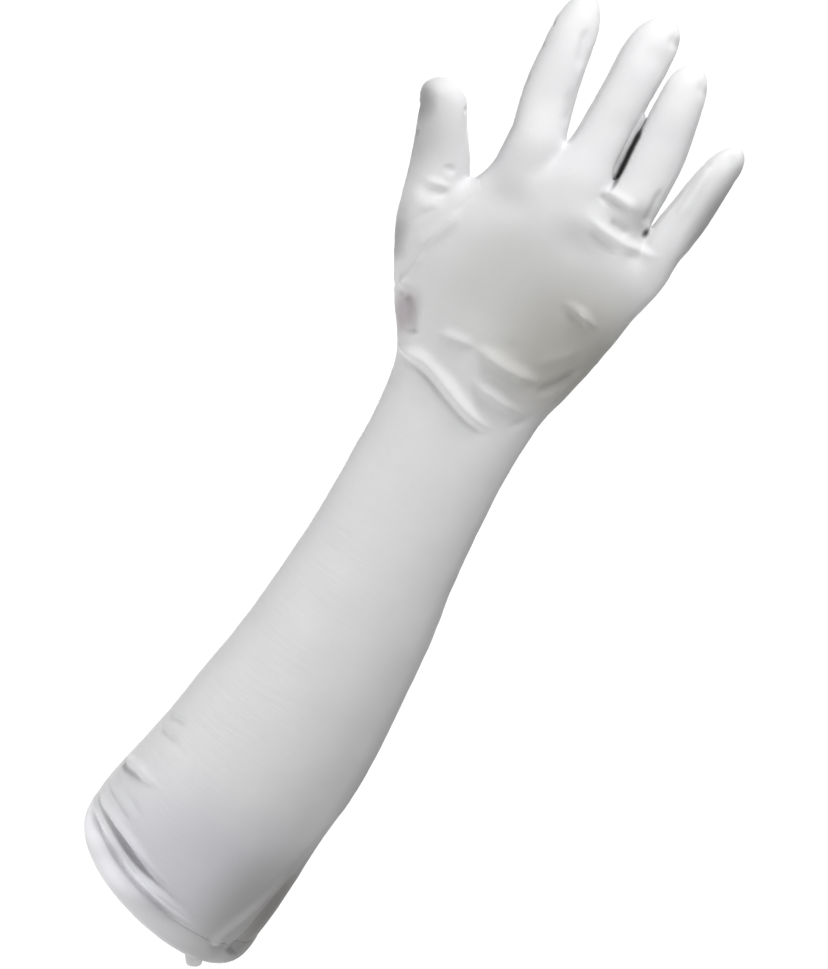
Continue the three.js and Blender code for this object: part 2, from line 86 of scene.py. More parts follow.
@dataclass(frozen=True)
class SizeTable:
    """Sizes at a few places along the glove, with a smooth curve between them.

    Each row starts with its place, and the columns name what follows.
    """

    columns: tuple[str, ...]
    rows: tuple[tuple[float, ...], ...]

    @property
    def first(self) -> float:
        """The place of the first row."""
        return self.rows[0][0]

    @property
    def last(self) -> float:
        """The place of the last row."""
        return self.rows[-1][0]

    def at(self, place: float) -> dict[str, float]:
        """Works out every column at a place.

        Args:
            place: The place along the table. Beyond its ends the end rows hold.

        Returns:
            The value of each named column.
        """
        rows = np.array(self.rows)
        places = rows[:, 0]
        place = min(max(place, places[0]), places[-1])
        low = min(int(np.searchsorted(places, place, side="right")) - 1, len(rows) - 2)

        def slope(row: int) -> np.ndarray:
            before, after = max(row - 1, 0), min(row + 1, len(rows) - 1)
            return (rows[after] - rows[before]) / (places[after] - places[before])

        rise = places[low + 1] - places[low]
        t = (place - places[low]) / rise
        values = (
            (2 * t**3 - 3 * t**2 + 1) * rows[low]
            + (t**3 - 2 * t**2 + t) * rise * slope(low)
            + (3 * t**2 - 2 * t**3) * rows[low + 1]
            + (t**3 - t**2) * rise * slope(low + 1)
        )
        return dict(zip(self.columns, values[1:]))


def lerp(start: float, end: float, share: float) -> float:
    """Goes a share of the way from start to end."""
    return start + (end - start) * share


def smooth(values: float | np.ndarray, low: float, high: float) -> float | np.ndarray:
    """Rises smoothly from 0 at low to 1 at high, for one value or a whole array."""
    t = np.clip((values - low) / (high - low), 0.0, 1.0)
    return t * t * (3 - 2 * t)


def from_thumb(place: int, half: int) -> int:
    """Counts a place of a ring from the thumb's side, alike over the palm and over the back."""
    return place if place <= half else 2 * half - place


def as_mesh(draft: bmesh.types.BMesh, name: str) -> bpy.types.Mesh:
    """Turns a draft into a mesh.

    Args:
        draft: The draft, in metres. It is freed afterwards.
        name: The mesh's name.

    Returns:
        The mesh.
    """
    mesh = bpy.data.meshes.new(name)
    draft.to_mesh(mesh)
    draft.free()
    return mesh


def stand(name: str, data: bpy.types.ID) -> bpy.types.Object:
    """Puts a mesh, light or camera into the scene.

    Args:
        name: The object's name.
        data: What it shows.

    Returns:
        The object.
    """
    item = bpy.data.objects.new(name, data)
    bpy.context.scene.collection.objects.link(item)
    return item


def on_section(sizes: dict[str, float], square: float, angle: float) -> tuple[float, float]:
    """Finds a point of a rounded section.

    Args:
        sizes: The section's left, right, middle plane y, front depth and back depth.
        square: 2 for an ellipse, and more for a boxier form.
        angle: In radians: 0 on the thumb's side, a quarter turn on the palm.

    Returns:
        Its x and y.
    """
    middle = (sizes["left"] + sizes["right"]) / 2
    half = (sizes["right"] - sizes["left"]) / 2
    depth = sizes["front"] if math.sin(angle) > 0 else sizes["back"]

    def bent(value: float) -> float:
        return math.copysign(abs(value) ** (2 / square), value)

    return middle - half * bent(math.cos(angle)), sizes["y"] - depth * bent(math.sin(angle))


SECTION = ("left", "right", "y", "front", "back")


@dataclass(frozen=True)
class Finger:
    """One finger's sections from its root to where its tip starts to round, and the tip itself."""

    tip: tuple[float, float, float]
    sections: SizeTable


# The index, middle, ring and little finger, in that order.
FINGERS = (
    Finger((-29.8, -8.5, 162.0), SizeTable(SECTION, (
        (103, -33, -11, -4.4, 10.8, 11.0),
        (112, -35.0, -13.2, -4.9, 10.0, 9.8),
        (121, -36.7, -15.1, -5.5, 9.2, 8.9),
        (132, -37.4, -17.3, -6.4, 8.8, 8.6),
        (144, -37.8, -19.4, -7.6, 8.2, 7.8),
    ))),
    Finger((1.2, -11.5, 168.6), SizeTable(SECTION, (
        (105, -11, 12, -4.6, 10.6, 11.0),
        (114, -10.2, 10.8, -5.2, 9.9, 9.7),
        (125, -10.1, 10.2, -6.3, 9.3, 9.1),
        (138, -9.9, 9.9, -8.0, 8.9, 8.8),
        (153, -10.2, 9.8, -10.0, 8.4, 8.0),
    ))),
    Finger((18.8, -13.0, 158.2), SizeTable(SECTION, (
        (98, 12, 33.2, -4.2, 10.4, 10.8),
        (109, 11.7, 33.6, -5.4, 9.7, 9.5),
        (119, 11.2, 33.2, -6.6, 9.1, 8.9),
        (131, 11.1, 31.5, -8.4, 8.7, 8.6),
        (144, 11.0, 28.6, -10.8, 8.1, 7.7),
    ))),
    Finger((48.2, -12.5, 138.4), SizeTable(SECTION, (
        (90, 33.2, 49.8, -3.8, 9.2, 9.4),
        (99, 34.2, 51.8, -5.0, 8.4, 8.3),
        (107, 35.6, 52.5, -6.4, 7.8, 7.6),
        (116, 36.9, 53.0, -8.2, 7.4, 7.3),
        (126, 38.9, 53.0, -10.2, 6.8, 6.5),
    ))),
)


@dataclass(frozen=True)
class HandForm:
    """The glove's plain form, without its folds: where each place of the skin is, in millimetres."""

    stitch_line: float = -236.0
    knuckles: float = 100.0
    hole_bottom: float = 24.0
    hole_top: float = 75.0
    hole_ends_angle: float = 18.0
    hole_middle_angle: float = 40.0
    # How far below and above the hole the columns are still spread.
    hole_spread: float = 20.0
    # The heights from which the palm's rows bend to the webs, and its width and depth turn into the roots'.
    roots_from: tuple[float, float, float] = (30.0, 60.0, 82.0)
    # The share of a finger over which its rings straighten from the web's line.
    straightened: float = 0.5
    finger_square: float = 2.15
    seam_angle_root: float = 30.0
    seam_angle_tip: float = 14.0
    trunk: SizeTable = SizeTable(
        (*SECTION, "square"),
        (
            (-264, -49.5, 33.4, 14.0, 41, 38, 2.1),
            (-250, -50.8, 35.4, 12.6, 41, 38, 2.1),
            (-236, -51.6, 37.3, 11.2, 41, 38, 2.1),
            (-220, -51.0, 38.4, 9.6, 40, 38, 2.1),
            (-205, -48.0, 38.9, 8.0, 39, 37, 2.1),
            (-190, -44.4, 39.9, 6.6, 38, 36, 2.1),
            (-175, -41.2, 41.9, 5.4, 36.5, 34.5, 2.1),
            (-155, -37.8, 42.2, 4.1, 34.5, 32.5, 2.1),
            (-130, -33.2, 40.9, 2.6, 31, 30, 2.1),
            (-100, -29.6, 38.8, 1.2, 26.5, 26.5, 2.1),
            (-70, -27.2, 35.0, 0.3, 22.5, 23, 2.1),
            (-40, -26.6, 32.9, 0, 20, 20.5, 2.15),
            (-20, -26.8, 32.4, 0, 19, 19.5, 2.2),
            (0, -29.6, 33.3, 0, 18.5, 18, 2.3),
            (10, -34.4, 35.1, -0.2, 18.5, 17, 2.4),
            (20, -41.0, 37.8, -0.5, 18.5, 16, 2.5),
            (35, -47.5, 41.2, -0.9, 18, 15, 2.6),
            (50, -47.5, 43.5, -1.4, 17, 14.5, 2.7),
            (65, -43.0, 45.2, -2.1, 15.5, 14, 2.8),
            (80, -34.0, 47.2, -3.0, 14, 13.3, 2.9),
            (92, -32.0, 49.6, -3.9, 12.3, 12, 2.8),
            (108, -33.0, 50.5, -4.8, 11, 11, 2.6),
        ),
    )
    row_lay: SizeTable = SizeTable(
        ("tilt", "lean", "twist"),
        (
            (-264, -0.25, 0.14, 56),
            (-236, -0.24, 0.14, 46),
            (-215, -0.22, 0.08, 35),
            (-190, -0.12, 0.03, 24),
            (-160, 0, 0, 11),
            (-130, 0, 0, 3),
            (-100, 0, 0, 0),
            (-40, 0, 0, 0),
            (-12, -0.27, 0, 0),
            (5, -0.27, 0, 0),
            (24, 0, 0, 0),
        ),
    )
    webs: SizeTable = SizeTable(("height",), ((-33, 103), (-11, 106), (12, 102.5), (33.2, 93), (49.8, 87)))
    thumb: SizeTable = SizeTable(
        ("outer_x", "outer_z", "inner_x", "inner_z", "y", "front", "back"),
        (
            (0, -46.6, 31, -37.4, 76.2, -2.4, 14.2, 12.8),
            (1, -51.4, 39, -38.8, 77.2, -3.0, 13.6, 12.6),
            (2, -55.2, 48, -40.4, 79.4, -3.7, 12.8, 12.0),
            (3, -57.8, 58, -41.9, 82.6, -4.5, 11.8, 11.2),
            (4, -60.0, 68, -43.6, 86.0, -5.4, 10.9, 10.4),
            (5, -62.9, 78, -45.4, 90.0, -6.3, 10.3, 9.8),
            (6, -66.0, 87, -47.6, 94.2, -7.3, 9.6, 9.2),
            (7, -70.0, 96.5, -49.8, 98.6, -8.3, 8.4, 8.2),
        ),
    )
    thumb_tip: tuple[float, float, float] = (-62.6, -8.8, 107.4)

    def column_angle(self, column: float, z: float) -> float:
        """Finds how far round the trunk a column is.

        Args:
            column: The column, counted from the thumb's side over the palm.
            z: The height. Beside the thumb hole the columns spread, to leave the hole its oval.

        Returns:
            The angle in degrees.
        """
        along = min(max((z - self.hole_bottom) / (self.hole_top - self.hole_bottom), 0.0), 1.0)
        oval = math.sqrt(max(0.0, 1 - (2 * along - 1) ** 2))
        opened = lerp(self.hole_ends_angle, self.hole_middle_angle, oval)
        away = max(self.hole_bottom - z, z - self.hole_top, 0.0)
        edge = lerp(opened, HOLE_COLUMNS * 180 / ACROSS, smooth(away, 0, self.hole_spread))
        from_side = from_thumb(column, ACROSS)
        if from_side <= HOLE_COLUMNS:
            angle = edge * from_side / HOLE_COLUMNS
        else:
            angle = edge + (180 - edge) * (from_side - HOLE_COLUMNS) / (ACROSS - HOLE_COLUMNS)
        return angle if column <= ACROSS else 360 - angle

    def web_height(self, x: float) -> float:
        """Height of the line of the webs above a place across the hand."""
        return self.webs.at(x)["height"]

    def root_point(self, column: int) -> Vector:
        """Finds where a trunk column ends, on the first section of its finger.

        Args:
            column: The column of the trunk.

        Returns:
            The point.
        """
        from_side = from_thumb(column, ACROSS)
        if from_side == 0:
            return self.finger_point(FINGERS[0], 0, 0)
        if from_side == ACROSS:
            return self.finger_point(FINGERS[3], 0, FINGER_RING // 2)
        number = min((from_side - 1) // PER_FINGER, len(FINGERS) - 1)
        place = from_side - 1 - number * PER_FINGER
        ring_place = 1 + place if column <= ACROSS else FINGER_RING - 1 - place
        point = self.finger_point(FINGERS[number], 0, ring_place)
        if place == 0 and number > 0:
            point.x = self.webs.rows[number][0]
        return point

    def trunk_point(self, column: int, z: float) -> Vector:
        """Finds a place on the arm or palm.

        Args:
            column: The column round the trunk.
            z: The height of its row before the row is tilted.

        Returns:
            The point.
        """
        lay = self.row_lay.at(z)
        angle = math.radians(self.column_angle(column, z) - lay["twist"])
        sizes = self.trunk.at(z)
        x, y = on_section(sizes, sizes["square"], angle)
        lift = lay["tilt"] * (x - (sizes["left"] + sizes["right"]) / 2) + lay["lean"] * (y - sizes["y"])
        sizes = self.trunk.at(z + lift)
        x, y = on_section(sizes, sizes["square"], angle)
        height_from, width_from, depth_from = self.roots_from
        if z > height_from:
            root = self.root_point(column)
            x = lerp(x, root.x, smooth(z, width_from, self.knuckles))
            y = lerp(y, root.y, smooth(z, depth_from, self.knuckles))
            lift += smooth(z, height_from, self.knuckles) * (self.web_height(x) - self.knuckles)
        return Vector((x, y, z + lift))

    def trunk_outward(self, column: int, z: float) -> Vector:
        """Finds which way the trunk faces at a place.

        Args:
            column: The column round the trunk.
            z: The height of its row.

        Returns:
            A direction of length 1, away from the arm.
        """
        step = 1.0
        round_it = self.trunk_point((column + 1) % AROUND, z) - self.trunk_point((column - 1) % AROUND, z)
        up_it = self.trunk_point(column, z + step) - self.trunk_point(column, z - step)
        return round_it.cross(up_it).normalized()

    def finger_point(self, finger: Finger, share: float, place: int) -> Vector:
        """Finds a place on a finger below its tip.

        Args:
            finger: The finger.
            share: 0 at its root and 1 where its tip starts to round.
            place: The place round its ring, counted from the thumb's side over the palm.

        Returns:
            The point.
        """
        edge = lerp(self.seam_angle_root, self.seam_angle_tip, share)
        half = FINGER_RING // 2
        from_side = from_thumb(place, half)
        angle = edge + (180 - 2 * edge) * (from_side - 1) / PER_FINGER
        angle = {0: 0.0, half: 180.0}.get(from_side, angle)
        table = finger.sections
        z = lerp(table.first, table.last, share)
        turn = angle if place <= half else 360 - angle
        x, y = on_section(table.at(z), self.finger_square, math.radians(turn))
        bend = (1 - smooth(share, 0, self.straightened)) * (self.web_height(x) - table.first)
        return Vector((x, y, z + bend))

    def thumb_point(self, place: float, turn: float) -> Vector:
        """Finds a place on the thumb below its tip.

        Args:
            place: The place along the thumb's table.
            turn: The share of a turn round it, from its outer side over the palm.

        Returns:
            The point.
        """
        sizes = self.thumb.at(place)
        angle = 2 * math.pi * turn
        depth = sizes["front"] if math.sin(angle) > 0 else sizes["back"]
        outer = (1 + math.cos(angle)) / 2
        return Vector(
            (
                lerp(sizes["inner_x"], sizes["outer_x"], outer),
                sizes["y"] - depth * math.sin(angle),
                lerp(sizes["inner_z"], sizes["outer_z"], outer),
            )
        )


@dataclass
class Ring:
    """One ring of a cage: its corners in order, and how far along the cloth it lies, in millimetres."""

    corners: list[BMVert]
    along: float = 0.0

    def edges(self) -> list[BMEdge]:
        """The edges from each corner to the next."""
        following = self.corners[1:] + self.corners[:1]
        return [
            next(edge for edge in corner.link_edges if edge.other_vert(corner) is after)
            for corner, after in zip(self.corners, following)
        ]

    def around(self) -> list[float]:
        """The way round to each corner, and to the first one again at the end."""
        places = [corner.co for corner in self.corners] + [self.corners[0].co]
        lengths = [(after - before).length for before, after in zip(places, places[1:])]
        return [0.0, *np.cumsum(lengths)]


class Cage:
    """A coarse mesh that grows ring by ring, with its panels marked and the flat cloth's measures as UVs."""

    def __init__(self) -> None:
        """Starts an empty cage."""
        self.mesh = bmesh.new()
        self.panel = self.mesh.faces.layers.int.new("panel")
        self.uv = self.mesh.loops.layers.uv.new("cloth")

    def start(self, points: Sequence[Vector]) -> Ring:
        """Makes the first ring.

        Args:
            points: The place of each of its corners.

        Returns:
            The ring.
        """
        made = bmesh.ops.create_circle(self.mesh, cap_ends=False, segments=len(points), radius=1)
        ring = Ring(made["verts"])
        for corner, point in zip(ring.corners, points):
            corner.co = point
        return ring

    def draw(self, rim: Ring, points: Sequence[Vector], panel_of: Callable[[int], Panel]) -> Ring:
        """Extrudes a ring's edges to a new ring.

        Args:
            rim: The ring to go on from.
            points: The place of each corner of the new ring.
            panel_of: Names the panel of the space after each corner.

        Returns:
            The new ring.
        """
        edges = rim.edges()
        made = bmesh.ops.extrude_edge_only(self.mesh, edges=edges)["geom"]
        fresh = {part for part in made if isinstance(part, (BMVert, BMFace))}
        corners = [
            next(other for edge in corner.link_edges if (other := edge.other_vert(corner)) in fresh)
            for corner in rim.corners
        ]
        for corner, point in zip(corners, points):
            corner.co = point
        steps = [(upper.co - lower.co).length for upper, lower in zip(corners, rim.corners)]
        ring = Ring(corners, rim.along + sum(steps) / len(steps))
        spans = (rim.around(), ring.around())
        for place, edge in enumerate(edges):
            face = next(face for face in edge.link_faces if face in fresh)
            self._mark(face, place, (rim, ring), spans, panel_of(place))
        return ring

    def _mark(
        self,
        face: BMFace,
        place: int,
        rings: tuple[Ring, Ring],
        spans: tuple[list[float], list[float]],
        panel: Panel,
    ) -> None:
        """Gives a face its panel, and its corners their place on the flat cloth.

        Args:
            face: The face between two rings.
            place: Its place round them.
            rings: The ring below it and the ring above it.
            spans: The way round to each corner of both rings.
            panel: The panel that it belongs to.
        """
        face[self.panel] = panel
        size = len(rings[0].corners)
        if panel in (Panel.INDEX_MIDDLE, Panel.MIDDLE_RING, Panel.RING_LITTLE):
            middle = round(2 * (place + 0.5) / size) * size // 2
        else:
            middle = size // 4 if place < size // 2 else 3 * size // 4
        for loop in face.loops:
            level = 0 if loop.vert in rings[0].corners else 1
            step = place if loop.vert is rings[level].corners[place] else place + 1
            across = spans[level][step] - spans[level][middle]
            loop[self.uv].uv = (across * MM, rings[level].along * MM)

    def close(self, rim: Ring, tip: Vector, arc: Sequence[float], panel_of: Callable[[int], Panel]) -> None:
        """Rounds a tube off to its tip.

        Args:
            rim: The tube's last ring.
            tip: Where the tip ends.
            arc: The angles of the rounding's steps, in degrees.
            panel_of: Names the panel of the space after each corner.
        """
        spokes = [corner.co.copy() for corner in rim.corners]
        middle = sum(spokes, Vector()) / len(spokes)
        for angle in map(math.radians, arc):
            centre = middle.lerp(tip, math.sin(angle))
            rim = self.draw(rim, [centre + (spoke - middle) * math.cos(angle) for spoke in spokes], panel_of)
        last = self.draw(rim, [tip] * len(spokes), panel_of)
        bmesh.ops.pointmerge(self.mesh, verts=last.corners, merge_co=tip)

    def smoothed(self, name: str) -> bpy.types.Mesh:
        """Turns the cage's faces outwards, brings it to metres and smooths it.

        Args:
            name: The name of the new mesh.

        Returns:
            The smoothed mesh.
        """
        bmesh.ops.recalc_face_normals(self.mesh, faces=self.mesh.faces)
        if self.mesh.calc_volume(signed=True) < 0:
            bmesh.ops.reverse_faces(self.mesh, faces=self.mesh.faces)
        bmesh.ops.scale(self.mesh, vec=Vector((MM, MM, MM)), verts=self.mesh.verts)
        mesh = as_mesh(self.mesh, name + "_cage")
        return finished(mesh, name, lambda piece: subdivide(piece, SMOOTHING))


def subdivide(piece: bpy.types.Object, levels: int) -> None:
    """Gives a piece a Subdivision Surface with the same levels in the view and the render."""
    modifier = piece.modifiers.new("smooth", "SUBSURF")
    modifier.levels = levels
    modifier.render_levels = levels
    modifier.boundary_smooth = "PRESERVE_CORNERS"


def finished(mesh: bpy.types.Mesh, name: str, add: Callable[[bpy.types.Object], None]) -> bpy.types.Mesh:
    """Puts a mesh through modifiers and applies them.

    Args:
        mesh: The mesh to start from. It is removed afterwards.
        name: The name of the result.
        add: Adds the modifiers to an object that holds the mesh.

    Returns:
        The new mesh.
    """
    piece = stand(name + "_draft", mesh)
    add(piece)
    depsgraph = bpy.context.evaluated_depsgraph_get()
    result = bpy.data.meshes.new_from_object(piece.evaluated_get(depsgraph))
    result.name = name
    bpy.data.objects.remove(piece)
    bpy.data.meshes.remove(mesh)
    return result


def rows_between(zones: Sequence[tuple[float, int]], start: float) -> list[float]:
    """Spaces rows out zone by zone.

    Args:
        zones: For each zone, where it ends and its number of rows.
        start: Where the first zone starts.

    Returns:
        The height of every row, the first included.
    """
    heights = [start]
    for end, rows in zones:
        low = heights[-1]
        heights += [lerp(low, end, row / rows) for row in range(1, rows + 1)]
    return heights


@dataclass
class GloveSkin:
    """The glove's outer skin as one surface, before it is cut into its panels."""

    form: HandForm = HandForm()
    hole_rows: int = 12
    knuckle_rows: int = 8
    # For each zone of the arm, where it ends and its number of rows.
    arm_zones: tuple[tuple[float, int], ...] = ((-192, 22), (-24, 28))
    wrist_rows: int = 21
    # How far each pass that softens the thumb's seam reaches, its strength, and the y it stays in front of.
    softened: tuple[float, ...] = (18, 16, 14, 13, 12, 11, 10, 9, 8, 7, 6, 6, 5, 5)
    softness: float = 0.5
    softened_depth: float = -6.0
    thumb_rings_per_size: int = 2
    finger_shares: tuple[float, ...] = (0.1, 0.2, 0.31, 0.43, 0.56, 0.7, 0.85, 1.0)
    tip_arc: tuple[float, ...] = (20.0, 39.0, 57.0, 74.0)

    def build(self) -> bpy.types.Mesh:
        """Draws the trunk, the thumb and the fingers, and smooths them.

        Returns:
            The skin's mesh.
        """
        self.cage = Cage()
        rows = self._trunk()
        self._thumb(rows)
        self._fingers(rows[-1])
        return self.cage.smoothed("glove_skin")

    def _trunk(self) -> list[Ring]:
        """Draws the arm and palm and opens the thumb hole.

        Returns:
            All the rings, from the stitching at the cuff to the roots of the fingers.
        """
        form = self.form
        zones = [*self.arm_zones, (form.hole_bottom, self.wrist_rows)]
        zones += [(form.hole_top, self.hole_rows), (form.knuckles, self.knuckle_rows)]
        heights = rows_between(zones, form.stitch_line)
        rows = [self.cage.start([form.trunk_point(column, heights[0]) for column in range(AROUND)])]
        for z in heights[1:]:
            beside_hole = form.hole_bottom < z <= form.hole_top

            def panel_of(column: int) -> Panel:
                if beside_hole and (column < HOLE_COLUMNS or column >= AROUND - HOLE_COLUMNS):
                    return Panel.THUMB_HOLE
                return Panel.PALM if column < ACROSS else Panel.BACK

            points = [form.trunk_point(column, z) for column in range(AROUND)]
            rows.append(self.cage.draw(rows[-1], points, panel_of))
        mesh, layer = self.cage.mesh, self.cage.panel
        opened = [face for face in mesh.faces if face[layer] == Panel.THUMB_HOLE]
        bmesh.ops.delete(mesh, geom=opened, context="FACES")
        return rows

    def _hole_ring(self, rows: list[Ring]) -> Ring:
        """Finds the edge of the thumb hole, from its lower end up the palm side and down the back.

        Args:
            rows: The rings of the trunk.

        Returns:
            The hole's ring.
        """
        first = len(rows) - 1 - self.knuckle_rows - self.hole_rows
        last = first + self.hole_rows
        side = range(HOLE_COLUMNS)
        steps = [(first, column) for column in side]
        steps += [(row, HOLE_COLUMNS) for row in range(first, last)]
        steps += [(last, HOLE_COLUMNS - column) for column in side]
        steps += [(last, (AROUND - column) % AROUND) for column in side]
        steps += [(row, AROUND - HOLE_COLUMNS) for row in range(last, first, -1)]
        steps += [(first, AROUND - HOLE_COLUMNS + column) for column in side]
        return Ring([rows[row].corners[column] for row, column in steps])

    def _thumb(self, rows: list[Ring]) -> None:
        """Draws the thumb out of its hole.

        Args:
            rows: The rings of the trunk.
        """
        rim = self._hole_ring(rows)
        size = len(rim.corners)
        sewn = [corner.co.copy() for corner in rim.corners[2 : size // 2 - 1]]

        def panel_of(place: int) -> Panel:
            return Panel.THUMB_PALM if place < size // 2 else Panel.THUMB_BACK

        steps = self.thumb_rings_per_size
        for step in range(int(self.form.thumb.last) * steps + 1):
            points = [self.form.thumb_point(step / steps, place / size) for place in range(size)]
            rim = self.cage.draw(rim, points, panel_of)
        self.cage.close(rim, Vector(self.form.thumb_tip), self.tip_arc, panel_of)
        self._soften(sewn)

    def _soften(self, sewn: Sequence[Vector]) -> None:
        """Draws the cloth tight over the sharp inner corner between the palm and the thumb.

        Args:
            sewn: Places along the thumb's seam on the palm side.
        """
        mesh = self.cage.mesh
        palm_side = [vert for vert in mesh.verts if vert.co.y < self.softened_depth]
        facing = [vert for vert in palm_side if vert.co.x < 0 and vert.co.z > 0]
        away = {vert: min((vert.co - place).length for place in sewn) for vert in facing}
        every_axis = {"use_axis_x": True, "use_axis_y": True, "use_axis_z": True}
        for reach in self.softened:
            near = [vert for vert in facing if away[vert] < reach]
            bmesh.ops.smooth_vert(mesh, verts=near, factor=self.softness, **every_axis)

    def _fingers(self, top: Ring) -> None:
        """Divides the trunk's last ring and draws a finger from each part.

        Args:
            top: The trunk's last ring.
        """
        mesh = self.cage.mesh
        bmesh.ops.contextual_create(mesh, geom=top.edges())
        webs = []
        for number in range(1, len(FINGERS)):
            column = number * PER_FINGER + 1
            ends = [top.corners[column], top.corners[AROUND - column]]
            bridge = bmesh.ops.connect_verts(mesh, verts=ends)["edges"][0]
            webs.append(bmesh.utils.edge_split(bridge, ends[0], 0.5)[1])
        cover = [face for face in mesh.faces if len(face.verts) > 4]
        bmesh.ops.delete(mesh, geom=cover, context="FACES_ONLY")
        half = FINGER_RING // 2
        for number, finger in enumerate(FINGERS):
            first = number * PER_FINGER + 1
            palm_edge = top.corners[first : first + PER_FINGER + 1]
            back_edge = top.corners[AROUND - first - PER_FINGER : AROUND - first + 1]
            near = webs[number - 1] if number else top.corners[0]
            far = webs[number] if number < len(webs) else top.corners[ACROSS]

            def tip_panel(place: int) -> Panel:
                return Panel.PALM if place < half else Panel.BACK

            def sewn_panel(place: int) -> Panel:
                if place in (0, FINGER_RING - 1) and number > 0:
                    return Panel(Panel.INDEX_MIDDLE + number - 1)
                if place in (half - 1, half) and number < len(webs):
                    return Panel(Panel.INDEX_MIDDLE + number)
                return tip_panel(place)

            rim = Ring([near, *palm_edge, far, *back_edge], top.along)
            for share in self.finger_shares:
                points = [self.form.finger_point(finger, share, place) for place in range(FINGER_RING)]
                rim = self.cage.draw(rim, points, sewn_panel)
            self.cage.close(rim, Vector(finger.tip), self.tip_arc, tip_panel)


@dataclass(frozen=True)
class Form:
    """A soft hollow or pad, as seen from the front or back: a positive height is a pad."""

    x: float
    z: float
    across: float
    along: float
    height: float
    side: Side

    def raised(self, places: np.ndarray) -> np.ndarray:
        """Its height at each place."""
        across = (places[:, 0] - self.x) / self.across
        along = (places[:, 2] - self.z) / self.along
        return self.height * np.exp(-(across**2) - along**2)


@dataclass(frozen=True)
class Fold:
    """A roll or crease of the cloth along a line of x, y and z places. A positive height is a roll."""

    line: tuple[tuple[float, float, float], ...]
    width: float
    height: float
    fade: tuple[float, float] = (0.3, 0.3)
    # The line lies on the plain form only roughly, so its depth counts for less than its x and z.
    weights: tuple[float, float, float] = (1.0, 0.6, 1.0)
    # The share of its width that is left at its ends.
    narrowed: float = 0.6

    def raised(self, places: np.ndarray) -> np.ndarray:
        """Works out its height at each place.

        Args:
            places: Points of the skin, in millimetres.

        Returns:
            The height at each one.
        """
        curve = self._curve() * self.weights
        reach = FADED * self.width
        weighed = places * self.weights
        near = np.all((weighed > curve.min(0) - reach) & (weighed < curve.max(0) + reach), axis=1)
        points = weighed[near]
        nearest = np.full(len(points), np.inf)
        share = np.zeros(len(points))
        lengths = np.linalg.norm(np.diff(curve, axis=0), axis=1)
        starts = np.concatenate(([0.0], np.cumsum(lengths)))
        for start, end, length, before in zip(curve, curve[1:], lengths, starts):
            run = (end - start) / length
            along = np.clip((points - start) @ run, 0, length)
            away = np.linalg.norm(points - start - along[:, None] * run, axis=1)
            closer = away < nearest
            nearest[closer] = away[closer]
            share[closer] = (before + along[closer]) / starts[-1]
        ends = smooth(share, 0, self.fade[0]) * (1 - smooth(share, 1 - self.fade[1], 1))
        width = self.width * lerp(self.narrowed, 1.0, ends)
        heights = np.zeros(len(places))
        heights[near] = self.height * ends * np.exp(-((nearest / width) ** 2))
        return heights

    def _curve(self) -> np.ndarray:
        """The line with its corners cut twice, so that it bends smoothly."""
        curve = np.array(self.line, float)
        for _ in range(2):
            quarter = curve[:-1] * 0.75 + curve[1:] * 0.25
            later = curve[:-1] * 0.25 + curve[1:] * 0.75
            cut = np.stack((quarter, later), axis=1).reshape(-1, 3)
            curve = np.concatenate((curve[:1], cut, curve[-1:]))
        return curve


FORMS = (
    # The palm and its heel.
    Form(6, 44, 24, 27, -4.2, Side.PALM),
    Form(-22, 79, 9, 6, -1.8, Side.PALM),
    Form(12.5, 76.5, 7, 6, -1.2, Side.PALM),
    Form(-30, 42, 10, 22, 1.0, Side.PALM),
    Form(30, 40, 9, 17, 1.6, Side.PALM),
    Form(2, 99, 36, 11, 1.6, Side.PALM),
    Form(8.8, 28, 4, 3, -0.5, Side.PALM),
    # The knuckles.
    Form(-22, 90, 8, 8, 1.6, Side.BACK),
    Form(1, 92, 8, 8, 1.8, Side.BACK),
    Form(23, 87, 8, 8, 1.5, Side.BACK),
    Form(40, 79, 7, 7, 1.2, Side.BACK),
    # The pucker at the lower end of the thumb's seam.
    Form(-39.5, 29.6, 2.2, 2.1, 1.9, Side.PALM),
    Form(-38.6, 25.6, 2.4, 1.8, -1.1, Side.PALM),
    # The fingers.
    Form(-28, 150, 14, 10, -0.9, Side.PALM),
    Form(0, 158, 14, 10, -1.0, Side.PALM),
    Form(19, 149, 12, 9, -0.9, Side.PALM),
    Form(-26, 117, 5, 9, -0.6, Side.PALM),
    Form(3, 123, 5, 5, -0.4, Side.PALM),
    Form(3, 153, 5, 4, -0.5, Side.PALM),
    Form(7.4, 162, 2.8, 2.6, -1.0, Side.PALM),
    Form(22, 128, 5, 5, -0.3, Side.PALM),
    Form(26, 151.6, 2.8, 2.6, -0.9, Side.PALM),
    Form(47.4, 133, 2.4, 3.0, -0.9, Side.PALM),
    Form(39.9, 127.4, 1.6, 1.8, -0.5, Side.PALM),
    Form(-20, -9, 9, 6, 0.5, Side.PALM),
)

